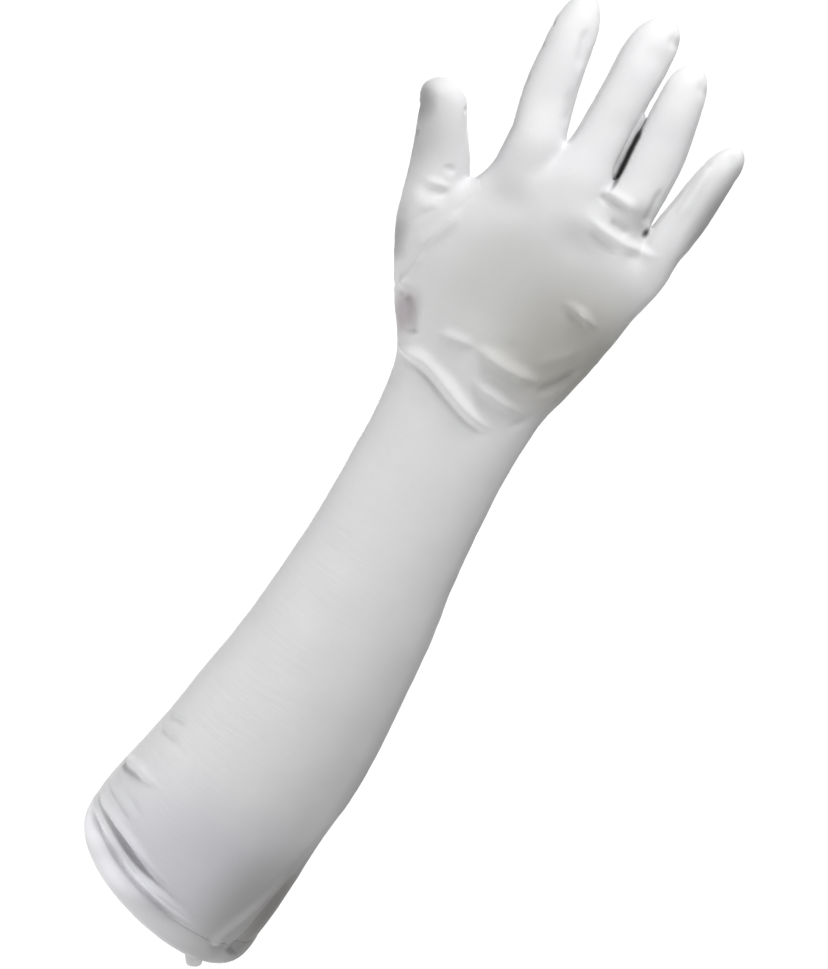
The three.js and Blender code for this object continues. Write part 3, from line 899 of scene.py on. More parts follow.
FOLDS = (
    # The wrist: a long roll with a crease beside it, three shorter rolls above and a faint crease below.
    Fold(((-31, -1, 5), (-28, -9, 6), (-22, -16, 7.2), (-17, -18.4, 6.7), (-11, -18.9, 4.9),
          (-5, -18.6, 2.2), (1, -18.2, -0.5), (6.5, -18, -2.5), (11.5, -17.7, -3.7), (16.5, -17.3, -4),
          (21, -16.5, -3.8)), 2.8, 3.5, (0.2, 0.3)),
    Fold(((-31, -1, 3.1), (-29, -8, 3.4), (-21.4, -13, 3.9), (-14.4, -16, 2.4), (-6.4, -17, -0.5),
          (0.6, -17.5, -3.3), (8.1, -17, -5.8), (14.1, -17, -6.8), (20.6, -16, -6.3)), 1.7, -1.6,
          (0.2, 0.3)),
    Fold(((-4, -19.4, 22.3), (3, -19.9, 21), (8, -19.8, 20.1), (12.5, -19.8, 20), (17, -19.6, 20.1),
          (22, -18.7, 20.5), (27.5, -17, 22.7)), 2.8, 3.2, (0.3, 0.35)),
    Fold(((-19, -18.8, 18.5), (-14, -19.2, 20.7), (-9, -19.1, 21.3), (-3.5, -19.3, 21.4)), 2.2, 1.4),
    Fold(((0, -18.9, 11), (7, -18.6, 8.5), (12, -18.3, 8), (16.7, -17.6, 7.3), (22.3, -16, 6.5),
          (27, -13.7, 7)), 2.5, 2.3, (0.35, 0.4)),
    Fold(((-17, -15.4, -10.5), (-11.4, -17, -7.9), (-6, -18, -6)), 1.8, -0.6),
    # The heel's far edge, and the short roll above it.
    Fold(((25, -17, 15), (28.7, -15.7, 19.2), (32.7, -14, 23.8), (36, -12.3, 30), (38, -10.6, 34.5)), 2.4,
          -1.8),
    Fold(((20, -19, 26), (27.5, -17.7, 33.9), (33, -15.5, 41)), 2.6, 0.8),
    Fold(((21, -15.8, -1.4), (24.5, -14.4, 0), (27, -13.3, 3.4), (31, -10.6, 8)), 1.9, -0.8, (0.5, 0.4)),
    Fold(((17.5, -16.4, 54.8), (21.5, -16.8, 53.7), (25.7, -16.7, 53), (31, -15.9, 51.4),
          (36, -14.5, 49.7)), 2.1, 3.0, (0.5, 0.5)),
    Fold(((16.5, -16.6, 52), (21, -16.8, 50.8), (25.3, -16.6, 50.2), (31, -15.9, 48.8)), 1.6, -1.2,
          (0.5, 0.5)),
    # The roots of the fingers.
    Fold(((8, -11.6, 98.5), (14.3, -12.8, 99.1), (18.6, -14.1, 99.4), (23.3, -14.8, 99),
          (27, -14.8, 98.4)), 2.0, 1.4),
    Fold(((9, -12.4, 95.9), (14.5, -13.2, 96.4), (19, -14.4, 96.6), (24, -15, 96.2)), 1.5, -1.7),
    Fold(((9, -17, 88.7), (12.4, -17, 87), (17.7, -16.8, 85.5), (22, -16.6, 85.2), (27, -15.8, 84.6),
          (32, -13, 85), (37.7, -13.1, 85.4), (43, -13.1, 86.9)), 2.0, 1.7, (0.3, 0.25)),
    Fold(((12, -17, 82.6), (17.5, -17, 81.4), (23, -16.6, 80.8), (28.5, -15.6, 80.6)), 1.8, -1.6),
    Fold(((17.5, -15.5, 90.2), (22.5, -15.6, 89.6), (28, -14.8, 89.6)), 1.7, -1.5),
    # The fingers' sides, and the ridge along the little finger.
    Fold(((-25, -14, 151.5), (-22.6, -14, 142.4), (-19.8, -12, 133.5)), 2.2, -1.2),
    Fold(((-20, -12.7, 127.5), (-16.2, -10.5, 118.8), (-14, -9.8, 112)), 1.9, -0.8),
    Fold(((29.5, -14, 112), (30.6, -11.9, 103.5), (30.5, -11.9, 95)), 1.9, -1.8, (0.4, 0.1)),
    Fold(((42.5, -15.8, 131), (41.7, -15.1, 119), (41.5, -13.9, 110), (40.5, -12.9, 99)), 2.0, 1.2),
    # Puckers where seams pull at the outline of the index finger and the thumb.
    Fold(((-38, -7, 146), (-36.4, -11, 145.5)), 1.2, -1.1, (0.05, 0.4)),
    Fold(((-38, -7, 136.4), (-36.4, -11, 136)), 1.2, -1.0, (0.05, 0.4)),
    Fold(((-37.5, -6, 122.5), (-35.5, -11, 122)), 1.3, -1.1, (0.05, 0.4)),
    Fold(((-65, -9, 84.5), (-62.5, -13, 83.5)), 1.3, -1.2, (0.05, 0.4)),
    Fold(((-49.6, -8, 100.5), (-52, -12, 99.5)), 1.2, -1.0, (0.05, 0.4)),
    # The thumb: the hollow under its tip's cap, its creases, and the soft ridge along its seam.
    Fold(((-69.5, -8, 94.5), (-66.5, -13, 94), (-63.5, -15.5, 94), (-59, -16.5, 95)), 4.0, -0.8,
          (0.05, 0.5)),
    Fold(((-70, -7, 101), (-66.5, -13, 101.5), (-62, -15, 102), (-57, -14.5, 101)), 2.4, 0.5,
          (0.05, 0.4)),
    Fold(((-55, -16, 68.2), (-52, -16.3, 69.2), (-48.8, -17.1, 69.8), (-45.3, -16.2, 70.4),
          (-40, -14, 71.5)), 1.9, 1.4, (0.45, 0.45)),
    Fold(((-52.5, -16.3, 66.7), (-46.5, -16.6, 67.6), (-40.5, -15.2, 68.7)), 1.5, -1.2, (0.45, 0.45)),
    Fold(((-49, -16, 78.2), (-47.4, -15.6, 77.5), (-44.5, -13.6, 77.4), (-42, -11.5, 77)), 1.5, -0.7,
          (0.5, 0.4)),
    Fold(((-51.7, -13.8, 52.2), (-47.1, -16.5, 56.5), (-41.6, -16.2, 62.7)), 1.8, -0.8),
    Fold(((-44.8, -15, 41.4), (-42.2, -16, 45.4), (-39.7, -17, 50.4), (-37, -16, 55.4),
          (-34.7, -15, 61.4), (-32.7, -14, 67.3)), 3.0, 1.3),
    Fold(((-41, -12.4, 28.4), (-39.6, -16, 36), (-39, -16.2, 41.7), (-38.8, -16, 47)), 1.7, 1.8,
          (0.05, 0.4)),
    Fold(((-50.5, -8, 56), (-49.5, -8, 46), (-45.5, -8, 35)), 3.4, -2.6),
    Fold(((-38, -13.5, 26), (-34.5, -15.4, 23.5), (-31, -15.7, 18), (-28.3, -14.8, 12)), 2.6, -3.0,
          (0.1, 0.15)),
    # The web between the thumb and the index finger.
    Fold(((-46, -4, 97), (-43, -3, 89), (-40.5, -2, 82), (-38.5, -2, 77), (-37, -3, 72)), 5.0, 1.5,
          (0.6, 0.3)),
    # The cuff: two long rolls with a deep crease between them and one below them, and shorter folds above.
    Fold(((-50.4, 4, -225.2), (-47.2, -4, -224.5), (-42.9, -11.6, -224.7), (-37.3, -17.8, -226.3),
          (-31.5, -22.3, -228.7), (-25.4, -25.8, -231.4), (-19.6, -27.9, -233.7), (-13, -29.1, -235.6),
          (-6.2, -29.4, -237.2), (1.4, -28.7, -239.3), (9.4, -26.5, -241.6), (16.4, -23, -244.8)), 1.5,
          2.7, (0.15, 0.45)),
    Fold(((-51.2, 5, -230.4), (-48, -5, -229.8), (-42, -14.5, -230.3), (-35.5, -20.3, -231.9),
          (-28.5, -24.8, -234.5), (-20, -28, -237.3), (-10.5, -29.5, -239.8), (-2.5, -29.2, -241.6),
          (5.5, -27.8, -243.5)), 1.4, -1.6, (0.15, 0.3)),
    Fold(((-51.1, 5, -223.8), (-46.6, -8, -223.2), (-41.3, -15.8, -223.6), (-35.3, -20.9, -225),
          (-29.3, -24.7, -227), (-23.3, -27.3, -229.1), (-16.9, -28.7, -231.3), (-9.5, -29.3, -233.7),
          (-2.5, -29.3, -235.6), (5, -28.5, -237.6)), 1.0, -1.7, (0.15, 0.6)),
    Fold(((-51.1, 4, -222.2), (-49.2, -3.6, -221.5), (-44.8, -12.7, -221.7), (-39.5, -19.1, -221.9),
          (-33, -24, -223.3), (-27.5, -26.6, -224.5), (-21.8, -28.1, -226.5), (-16, -28.6, -228.5),
          (-9, -29.2, -230.8), (-2, -29.2, -232.6)), 1.5, 2.6, (0.2, 0.5)),
    Fold(((-51, 4, -217.6), (-44.7, -11.8, -216.4), (-38.3, -19.2, -217), (-30, -25.2, -218.7)), 1.6,
          -1.0),
    Fold(((-49, 2, -210.2), (-47.4, -2.6, -209.7), (-37.8, -18.9, -210.9), (-26, -26, -214)), 1.6, -0.7),
    Fold(((-47.5, 6, -204.6), (-44, -8, -201), (-40.7, -13.2, -199.2), (-35, -20.2, -198.8),
          (-28, -25, -199.4)), 1.6, 2.4, (0.25, 0.5)),
    Fold(((-48, 5, -207.4), (-44.5, -8.5, -203.7), (-40.5, -14.6, -202), (-35, -20.6, -201.8)), 1.3, -1.4,
          (0.1, 0.5)),
    Fold(((-42, -4, -184), (-39.1, -9.6, -182.5), (-34.1, -17, -180.9), (-27.5, -23, -180.4)), 1.8, -1.2,
          (0.1, 0.5)),
    Fold(((-41, -2, -178), (-39.9, -4.6, -176.8), (-34.8, -14.6, -173.4), (-29.3, -20.5, -172.6)), 1.8,
          -1.1, (0.1, 0.5)),
    # The far side seam, which stands up where it reaches the cuff.
    Fold(((36.5, -7, -198), (33, -11, -212), (31, -13.4, -221.3), (28.6, -15.2, -228),
          (25.6, -17.4, -234.8), (22.7, -18.8, -242), (21.2, -19, -250)), 1.9, 1.9, (0.4, 0.05)),
    Fold(((38, -4, -205), (35.5, -6, -222), (33.4, -7, -233.6), (32, -7.7, -241.3), (29, -10, -254)), 3.2,
          -2.2, (0.3, 0.05)),
    # The back of the wrist and of the cuff.
    Fold(((-20, 14, 7), (-8, 17.5, 4), (6, 18, 3.5), (20, 16, 6)), 3.0, 1.5),
    Fold(((-18, 15, -1.5), (-5, 18, -4.5), (9, 18.3, -4.5), (23, 15.5, -2)), 2.2, -1.2),
    Fold(((-14, 16, -10), (-2, 18.5, -12), (12, 18.3, -12), (22, 15.5, -10)), 2.8, 1.1),
    Fold(((-26, 10, 17), (-13, 15.5, 14.5), (1, 16.8, 14)), 2.6, -1.1),
    Fold(((-40, 35, -214), (-22, 46, -217.5), (-4, 48.3, -220.5), (14, 45.5, -222.5)), 2.2, 1.4),
    Fold(((-36, 38.5, -221), (-16, 47.5, -225), (4, 48.6, -228)), 1.8, -1.3),
    Fold(((8, 46, -206), (22, 38, -203), (34, 25, -199)), 2.4, -1.1),
    Fold(((12, 46, -212), (25, 37.5, -209), (35, 26, -205)), 2.4, 1.2),
)


@dataclass(frozen=True)
class Press:
    """Where two fingers lie against each other and flatten the cloth on both sides of a thin slit."""

    # Places on the slit's middle, in x, y and z.
    line: tuple[tuple[float, float, float], ...]
    # Where the fingers' own sides part at each of those places, in x.
    parting: tuple[float, ...]
    gap: float = 0.12
    # How far the slit turns sideways for each millimetre of depth, so that no light passes straight through.
    slant: float = -0.25
    depth: tuple[float, float] = (2.2, 5.0)
    width: tuple[float, float] = (1.6, 4.0)
    ends: float = 2.0

    def close(self, places: np.ndarray) -> None:
        """Moves the points of both fingers up to the slit.

        Args:
            places: Points of the skin, in millimetres.
        """
        line = np.array(self.line)
        height = places[:, 2]
        deep = places[:, 1] - np.interp(height, line[:, 2], line[:, 1])
        middle = np.interp(height, line[:, 2], line[:, 0]) + self.slant * deep
        finger = np.sign(places[:, 0] - np.interp(height, line[:, 2], self.parting))
        away = np.abs(places[:, 0] - middle)
        share = (1 - smooth(np.abs(deep), *self.depth)) * (1 - smooth(away, *self.width))
        share *= smooth(height, line[0, 2] - self.ends, line[0, 2])
        share *= 1 - smooth(height, line[-1, 2], line[-1, 2] + self.ends)
        places[:, 0] += share * (middle + finger * self.gap / 2 - places[:, 0])


MIDDLE_AND_RING = Press(((12.9, -5.0, 106.0), (12.3, -6.3, 117.0), (11.6, -8.0, 130.0)), (11.8, 10.95, 10.6))


@dataclass(frozen=True)
class Relief:
    """What the folds, seams and slack of the cloth add to its plain form."""

    seam_depth: float = 0.2
    seam_width: float = 0.9
    pucker_height: float = 0.2
    pucker_reach: float = 3.2
    pucker_pitch: float = 4.5
    slack_height: float = 0.22
    slack_stretch: tuple[float, float, float] = (0.028, 0.028, 0.085)
    # How far a place has to turn to a side for that side's forms to start and to act in full.
    facing: tuple[float, float] = (0.2, 0.8)

    def shape(self, mesh: bpy.types.Mesh, outward: np.ndarray | None = None) -> None:
        """Raises and sinks a mesh's points by the relief.

        Args:
            mesh: The mesh to shape.
            outward: Which way each point moves, or None for its own normal.
        """
        places = vectors(mesh.vertices, "co") / MM
        outward = vectors(mesh.vertices, "normal") if outward is None else outward
        heights = self.lift(places, outward)
        seams = seam_points(mesh)
        if len(seams):
            heights += self._seams(places, seams)
        places += outward * heights[:, None]
        MIDDLE_AND_RING.close(places)
        mesh.vertices.foreach_set("co", (places * MM).ravel())
        mesh.update()

    def lift(self, places: np.ndarray, outward: np.ndarray) -> np.ndarray:
        """Adds up the forms, the folds and the slack.

        Args:
            places: The points, in millimetres.
            outward: Which way the cloth faces at each one.

        Returns:
            The height at each point.
        """
        total = sum(fold.raised(places) for fold in FOLDS)
        for side in Side:
            towards = outward[:, 0] * side.value[0] + outward[:, 1] * side.value[1]
            raised = sum(part.raised(places) for part in FORMS if part.side is side)
            total = total + raised * smooth(towards, *self.facing)
        return total + self._slack(places)

    def _slack(self, places: np.ndarray) -> np.ndarray:
        """The slow waviness of stretched cloth, longest round the arm."""
        stretch = Vector(self.slack_stretch)
        return self.slack_height * np.array([noise.noise(Vector(place) * stretch) for place in places])

    def _seams(self, places: np.ndarray, seams: np.ndarray) -> np.ndarray:
        """Sinks the seams and puckers the cloth beside them.

        Args:
            places: The points, in millimetres.
            seams: Points along the seams.

        Returns:
            The height at each point.
        """
        tree = KDTree(len(seams))
        for number, point in enumerate(seams):
            tree.insert(point, number)
        tree.balance()
        heights = np.zeros(len(places))
        reach = FADED * self.pucker_reach
        for number, place in enumerate(places):
            nearest, _, away = tree.find(place)
            if away < reach:
                wave = noise.noise(nearest * (1 / self.pucker_pitch))
                valley = -self.seam_depth * math.exp(-((away / self.seam_width) ** 2))
                heights[number] = valley + self.pucker_height * wave * math.exp(-away / self.pucker_reach)
        return heights


def vectors(items: bpy.types.bpy_prop_collection, name: str) -> np.ndarray:
    """Reads a vector of each item of a mesh as an array of three columns."""
    values = np.empty(len(items) * 3, np.float32)
    items.foreach_get(name, values)
    return values.reshape(-1, 3).astype(float)


def seam_points(mesh: bpy.types.Mesh) -> np.ndarray:
    """Finds the points of a skin where two panels meet.

    Args:
        mesh: The skin, whose faces are marked with their panels.

    Returns:
        The points, in millimetres.
    """
    marks = mesh.attributes.get("panel")
    if marks is None:
        return np.zeros((0, 3))
    panels = np.empty(len(mesh.polygons), np.int32)
    marks.data.foreach_get("value", panels)
    totals = np.empty(len(mesh.polygons), np.int32)
    mesh.polygons.foreach_get("loop_total", totals)
    edges = np.empty(len(mesh.loops), np.int32)
    mesh.loops.foreach_get("edge_index", edges)
    by_loop = np.repeat(panels, totals)
    lowest = np.full(len(mesh.edges), len(Panel))
    highest = np.full(len(mesh.edges), -1)
    np.minimum.at(lowest, edges, by_loop)
    np.maximum.at(highest, edges, by_loop)
    ends = np.empty(len(mesh.edges) * 2, np.int32)
    mesh.edges.foreach_get("vertices", ends)
    sewn = np.unique(ends.reshape(-1, 2)[lowest < highest])
    return vectors(mesh.vertices, "co")[sewn] / MM


class NodeBench:
    """Lays out the nodes of one material."""

    def __init__(self, name: str) -> None:
        """Starts a material with only its output.

        Args:
            name: The material's name.
        """
        self.material = bpy.data.materials.new(name)
        self.material.use_nodes = True
        self.tree = self.material.node_tree
        self.tree.nodes.clear()

    def add(
        self, kind: str, inputs: dict[str | int, object] | None = None, **settings: object
    ) -> bpy.types.Node:
        """Adds a node.

        Args:
            kind: The node's type, without its ShaderNode start.
            inputs: For each input, a value or the output that feeds it.
            **settings: The node's own settings.

        Returns:
            The node.
        """
        node = self.tree.nodes.new("ShaderNode" + kind)
        for name, value in settings.items():
            setattr(node, name, value)
        for key, value in (inputs or {}).items():
            if isinstance(value, bpy.types.NodeSocket):
                self.tree.links.new(value, node.inputs[key])
            else:
                node.inputs[key].default_value = value
        return node

    def math(self, operation: str, *values: object) -> bpy.types.NodeSocket:
        """The result of a Math node of that operation."""
        return self.add("Math", dict(enumerate(values)), operation=operation).outputs[0]

    def vector(self, operation: str, *values: object) -> bpy.types.NodeSocket:
        """The vector that a Vector Math node of that operation gives."""
        return self.add("VectorMath", dict(enumerate(values)), operation=operation).outputs[0]

    def ramp(
        self, value: bpy.types.NodeSocket, ends: tuple[float, float], levels: tuple[float, float]
    ) -> bpy.types.NodeSocket:
        """Goes smoothly from one level to the other as a value goes from one end to the other."""
        inputs = dict(enumerate((value, *ends, *levels)))
        return self.add("MapRange", inputs, interpolation_type="SMOOTHSTEP").outputs[0]

    def mix(self, share: bpy.types.NodeSocket, under: object, over: object) -> bpy.types.NodeSocket:
        """Goes a share of the way from one colour to another."""
        mixed = self.add("Mix", {0: share, 6: under, 7: over}, data_type="RGBA", blend_type="MIX")
        return mixed.outputs[2]

    def finish(self, **inputs: object) -> bpy.types.Material:
        """Ends the material with a Principled shader.

        Args:
            **inputs: The shader's inputs, with underscores for the spaces of their names.

        Returns:
            The material.
        """
        named = {name.replace("_", " "): value for name, value in inputs.items()}
        surface = self.add("BsdfPrincipled", named)
        self.add("OutputMaterial", {"Surface": surface.outputs["BSDF"]})
        return self.material


@dataclass(frozen=True)
class PaintedShading:
    """A soft-edged patch of painted shade, or of painted light where it is lighter, laid into the cloth's
    colour, with its middle and reach.
    """

    middle: tuple[float, float, float]
    reach: tuple[float, float, float]
    strength: float
    colour: tuple[float, float, float]
    # Where its edge starts and where it is full, as shares of its reach.
    edge: tuple[float, float] = (1.35, 0.25)

    def over(
        self, bench: NodeBench, place: bpy.types.NodeSocket, under: bpy.types.NodeSocket
    ) -> bpy.types.NodeSocket:
        """Lays the patch over a colour.

        Args:
            bench: Where the nodes go.
            place: The place in the part's frame.
            under: The colour that it covers.

        Returns:
            The covered colour.
        """
        middle, reach = ([value * MM for value in values] for values in (self.middle, self.reach))
        near = bench.vector("DIVIDE", bench.vector("SUBTRACT", place, middle), reach)
        far = bench.add("VectorMath", {0: near}, operation="LENGTH").outputs["Value"]
        return bench.mix(bench.ramp(far, self.edge, (0.0, self.strength)), under, (*self.colour, 1.0))


# Painted shade and painted light, laid into the cloth's colour in soft patches.
PAINTED_SHADING = (
    # Painted shade on the palm, its heel, the thumb's base and the index finger's root.
    PaintedShading((2, -21, 47), (55, 18, 43), 0.88, (0.39, 0.39, 0.385)),
    PaintedShading((32, -14, 35), (32, 18, 32), 0.88, (0.26, 0.252, 0.23)),
    PaintedShading((-35, -11, 18), (6.8, 12, 12.5), 0.72, (0.27, 0.235, 0.25)),
    PaintedShading((-51.5, -5, 46), (5.5, 10, 20), 0.75, (0.22, 0.22, 0.22)),
    PaintedShading((-61, -3, 72), (4.5, 8, 22), 0.6, (0.24, 0.24, 0.24)),
    PaintedShading((-23.5, -15.5, 78.5), (16, 10, 10), 0.55, (0.38, 0.38, 0.375)),
    # Painted shade in the hollows at the root of the ring finger.
    PaintedShading((12, -16, 79), (13, 10, 8), 0.5, (0.38, 0.38, 0.38)),
    PaintedShading((27.5, -12, 96.5), (6, 10, 7.5), 0.6, (0.28, 0.28, 0.28)),
    PaintedShading((20, -13.5, 94.5), (12, 10, 5.5), 0.5, (0.36, 0.36, 0.36)),
    # Painted shade on the lower arm and down the arm's far edge, darkest past the side seam at the cuff.
    PaintedShading((0, -28, -220), (55, 34, 32), 0.75, (0.44, 0.44, 0.475)),
    PaintedShading((26, -18, -229), (21, 18, 32), 0.65, (0.28, 0.27, 0.26)),
    PaintedShading((37.5, 2, -35), (6.8, 24, 75), 0.7, (0.27, 0.265, 0.255)),
    PaintedShading((45, 4, -150), (8.5, 28, 125), 0.7, (0.27, 0.26, 0.25)),
    PaintedShading((38.5, -3, -236), (11, 20, 45), 0.8, (0.16, 0.15, 0.14)),
    # Painted light on the hem and on the cloth beside the thumb's crease.
    PaintedShading((-44, -6, -233.5), (12, 22, 6.5), 0.85, (0.75, 0.75, 0.78)),
    PaintedShading((-24, -25, -239.5), (17, 17, 6.2), 0.7, (0.75, 0.75, 0.79)),
    PaintedShading((-47, -17, 64.5), (7, 10, 4.5), 0.5, (0.75, 0.75, 0.75)),
    # Painted shade under the thumb's tip, on the little finger's far side, and in the dents of the other
    # tips.
    PaintedShading((-67, -13, 94), (6.2, 8, 8), 0.9, (0.17, 0.17, 0.17)),
    PaintedShading((-62, -14, 86), (15, 10, 19), 0.7, (0.31, 0.31, 0.31)),
    PaintedShading((51, -10, 112), (6, 10, 26), 0.7, (0.20, 0.20, 0.195)),
    PaintedShading((50, -12, 131), (3.5, 6, 4), 0.5, (0.28, 0.28, 0.28)),
    PaintedShading((7.8, -13, 162.2), (2.4, 4, 2.4), 0.6, (0.28, 0.28, 0.28)),
    PaintedShading((26.3, -13, 151.5), (2.4, 4, 2.4), 0.5, (0.30, 0.30, 0.30)),
    # Painted shade, nearly black, in the slit between the middle and ring fingers and in the fork beside the
    # little finger.
    PaintedShading((13.1, -8.5, 104), (1.2, 6.5, 5), 0.8, (0.03, 0.03, 0.03)),
    PaintedShading((12.7, -8.5, 110.5), (1.3, 6.5, 5.5), 1.0, (0.01, 0.01, 0.01)),
    PaintedShading((12.3, -9, 117), (1.3, 6.5, 5.5), 1.0, (0.01, 0.01, 0.01)),
    PaintedShading((12, -9, 122.5), (1.4, 6.5, 3.8), 1.0, (0.01, 0.01, 0.01)),
    PaintedShading((12.7, -5.5, 108), (2.2, 3.5, 8), 1.0, (0.01, 0.01, 0.01)),
    PaintedShading((12.2, -6, 118), (2.2, 3.5, 7), 1.0, (0.01, 0.01, 0.01)),
    PaintedShading((32.6, -8, 92.1), (1.7, 6, 2.4), 1.0, (0.01, 0.01, 0.01)),
)


@dataclass(frozen=True)
class StretchCotton:
    """White stretch cotton in a fine jersey knit, faintly shiny, with patches of painted shade and painted
    light in its colour.
    """

    name: str = "stretch_cotton"
    colour: tuple[float, float, float, float] = (0.568, 0.568, 0.568, 1.0)
    shade: tuple[float, float, float, float] = (0.503, 0.503, 0.517, 1.0)
    # The patches of painted shade and painted light.
    painted_shading: tuple[PaintedShading, ...] = PAINTED_SHADING
    roughness: float = 0.7
    specular: float = 0.25
    sheen: float = 0.12
    sheen_roughness: float = 0.4
    # The knit: the width of a row of loops and the height of a loop, in metres.
    wale: float = 0.0009
    course: float = 0.0007
    knit_depth: float = 0.00005
    knit_strength: float = 0.6
    loop_slant: float = 2.4
    loop_relief: float = 0.25
    tone_scale: float = 45.0
    tone_detail: float = 4.0
    tone_roughness: float = 0.55
    # The ripples: their form, where they start and are full across and along, and their least share there.
    ripple_depth: float = 0.0003
    ripple_strength: float = 0.7
    ripple_scale: tuple[float, float, float] = (45.0, 420.0, 1.0)
    ripple_detail: float = 2.0
    ripple_across: tuple[float, float] = (0.03, -0.02)
    ripple_along: tuple[float, float] = (0.02, -0.09)
    ripple_least: tuple[float, float] = (0.25, 0.2)

    def make(self) -> bpy.types.Material:
        """Builds the material on the cloth's own UV map, which is in metres.

        Returns:
            The material.
        """
        bench = NodeBench(self.name)
        cloth = bench.add("UVMap", uv_map="cloth").outputs["UV"]
        place = bench.add("TexCoord").outputs["Object"]
        clouds = {"Vector": place, "Scale": self.tone_scale}
        clouds |= {"Detail": self.tone_detail, "Roughness": self.tone_roughness}
        tone = bench.add("TexNoise", clouds).outputs["Fac"]
        colour = bench.mix(tone, self.colour, self.shade)
        # Patches of painted shade and painted light go over the cloth's colour.
        for patch in self.painted_shading:
            colour = patch.over(bench, place, colour)
        knit = {
            "Height": self._knit(bench, cloth),
            "Strength": self.knit_strength,
            "Distance": self.knit_depth,
        }
        ripples = {
            "Height": self._ripples(bench, cloth, place),
            "Normal": bench.add("Bump", knit).outputs["Normal"],
            "Strength": self.ripple_strength,
            "Distance": self.ripple_depth,
        }
        return bench.finish(
            Base_Color=colour,
            Roughness=self.roughness,
            Specular_IOR_Level=self.specular,
            Sheen_Weight=self.sheen,
            Sheen_Roughness=self.sheen_roughness,
            Normal=bench.add("Bump", ripples).outputs["Normal"],
        )

    def _knit(self, bench: NodeBench, cloth: bpy.types.NodeSocket) -> bpy.types.NodeSocket:
        """Draws the rows of small V-shaped loops.

        Args:
            bench: Where the nodes go.
            cloth: The place on the flat cloth.

        Returns:
            The height of the knit, from 0 to 1.
        """
        split = bench.add("SeparateXYZ", {0: cloth})
        across = bench.math("MULTIPLY", split.outputs["X"], math.pi / self.wale)
        rib = bench.math("ABSOLUTE", bench.math("SINE", across))
        along = bench.math("MULTIPLY", split.outputs["Y"], 2 * math.pi / self.course)
        slanted = bench.math("MULTIPLY_ADD", rib, self.loop_slant, along)
        wave = bench.math("SINE", slanted)
        loop = bench.math("MULTIPLY_ADD", wave, self.loop_relief, 1 - self.loop_relief)
        return bench.math("MULTIPLY", rib, loop)

    def _ripples(
        self, bench: NodeBench, cloth: bpy.types.NodeSocket, place: bpy.types.NodeSocket
    ) -> bpy.types.NodeSocket:
        """Draws the fine cross ripples of the stretched arm, strongest on the thumb's side.

        Args:
            bench: Where the nodes go.
            cloth: The place on the flat cloth.
            place: The place in the part's frame.

        Returns:
            The height of the ripples.
        """
        drawn = bench.add("Mapping", {"Vector": cloth, "Scale": self.ripple_scale}).outputs[0]
        inputs = {"Vector": drawn, "Scale": 1.0, "Detail": self.ripple_detail, "Roughness": 0.5}
        lines = bench.add("TexNoise", inputs)
        split = bench.add("SeparateXYZ", {0: place})
        left = bench.ramp(split.outputs["X"], self.ripple_across, (self.ripple_least[0], 1.0))
        low = bench.ramp(split.outputs["Z"], self.ripple_along, (self.ripple_least[1], 1.0))
        return bench.math("MULTIPLY", lines.outputs["Fac"], bench.math("MULTIPLY", left, low))


@dataclass(frozen=True)
class SewingThread:
    """White cotton thread with a fine twist."""

    name: str = "sewing_thread"
    colour: tuple[float, float, float, float] = (0.56, 0.56, 0.57, 1.0)
    twist: float = 0.0004
    relief: float = 0.00005
    relief_strength: float = 0.4
    roughness: float = 0.6
    sheen: float = 0.2

    def make(self) -> bpy.types.Material:
        """Builds the material.

        Returns:
            The material.
        """
        bench = NodeBench(self.name)
        place = bench.add("TexCoord").outputs["Object"]
        turns = {"Vector": place, "Scale": 1 / (2 * math.pi * self.twist), "Distortion": 1.0}
        bands = bench.add("TexWave", turns).outputs["Fac"]
        bump = {"Height": bands, "Strength": self.relief_strength, "Distance": self.relief}
        return bench.finish(
            Base_Color=self.colour,
            Roughness=self.roughness,
            Sheen_Weight=self.sheen,
            Normal=bench.add("Bump", bump).outputs["Normal"],
        )


def place_piece(
    mesh: bpy.types.Mesh, name: str, material: bpy.types.Material
) -> bpy.types.Object:
    """Makes a finished mesh a piece of the glove.

    Args:
        mesh: The mesh, already in place.
        name: The piece's name.
        material: Its finish.

    Returns:
        The piece.
    """
    mesh.materials.clear()
    mesh.materials.append(material)
    mesh.shade_smooth()
    piece = stand(name, mesh)
    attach(piece, BODY)
    return piece


@dataclass(frozen=True)
class Cut:
    """How one panel is cut: the node it stands for, its slot, and its flat width, length and area."""

    panel: Panel
    node: str
    slot: str
    flat: tuple[float, float]
    area: float


CUTS = (
    Cut(Panel.PALM, "palm_panel", "cotton_panel", (0.118, 0.430), 0.037),
    Cut(Panel.BACK, "back_panel", "cotton_panel", (0.118, 0.430), 0.037),
    Cut(Panel.THUMB_PALM, "thumb_palm_half", "cotton_panel", (0.045, 0.090), 0.0023),
    Cut(Panel.THUMB_BACK, "thumb_back_half", "cotton_panel", (0.045, 0.090), 0.0023),
    Cut(Panel.INDEX_MIDDLE, "fourchette_index_middle", "cotton_fourchette", (0.014, 0.100), 0.00065),
    Cut(Panel.MIDDLE_RING, "fourchette_middle_ring", "cotton_fourchette", (0.014, 0.100), 0.00065),
    Cut(Panel.RING_LITTLE, "fourchette_ring_little", "cotton_fourchette", (0.014, 0.088), 0.00055),
)


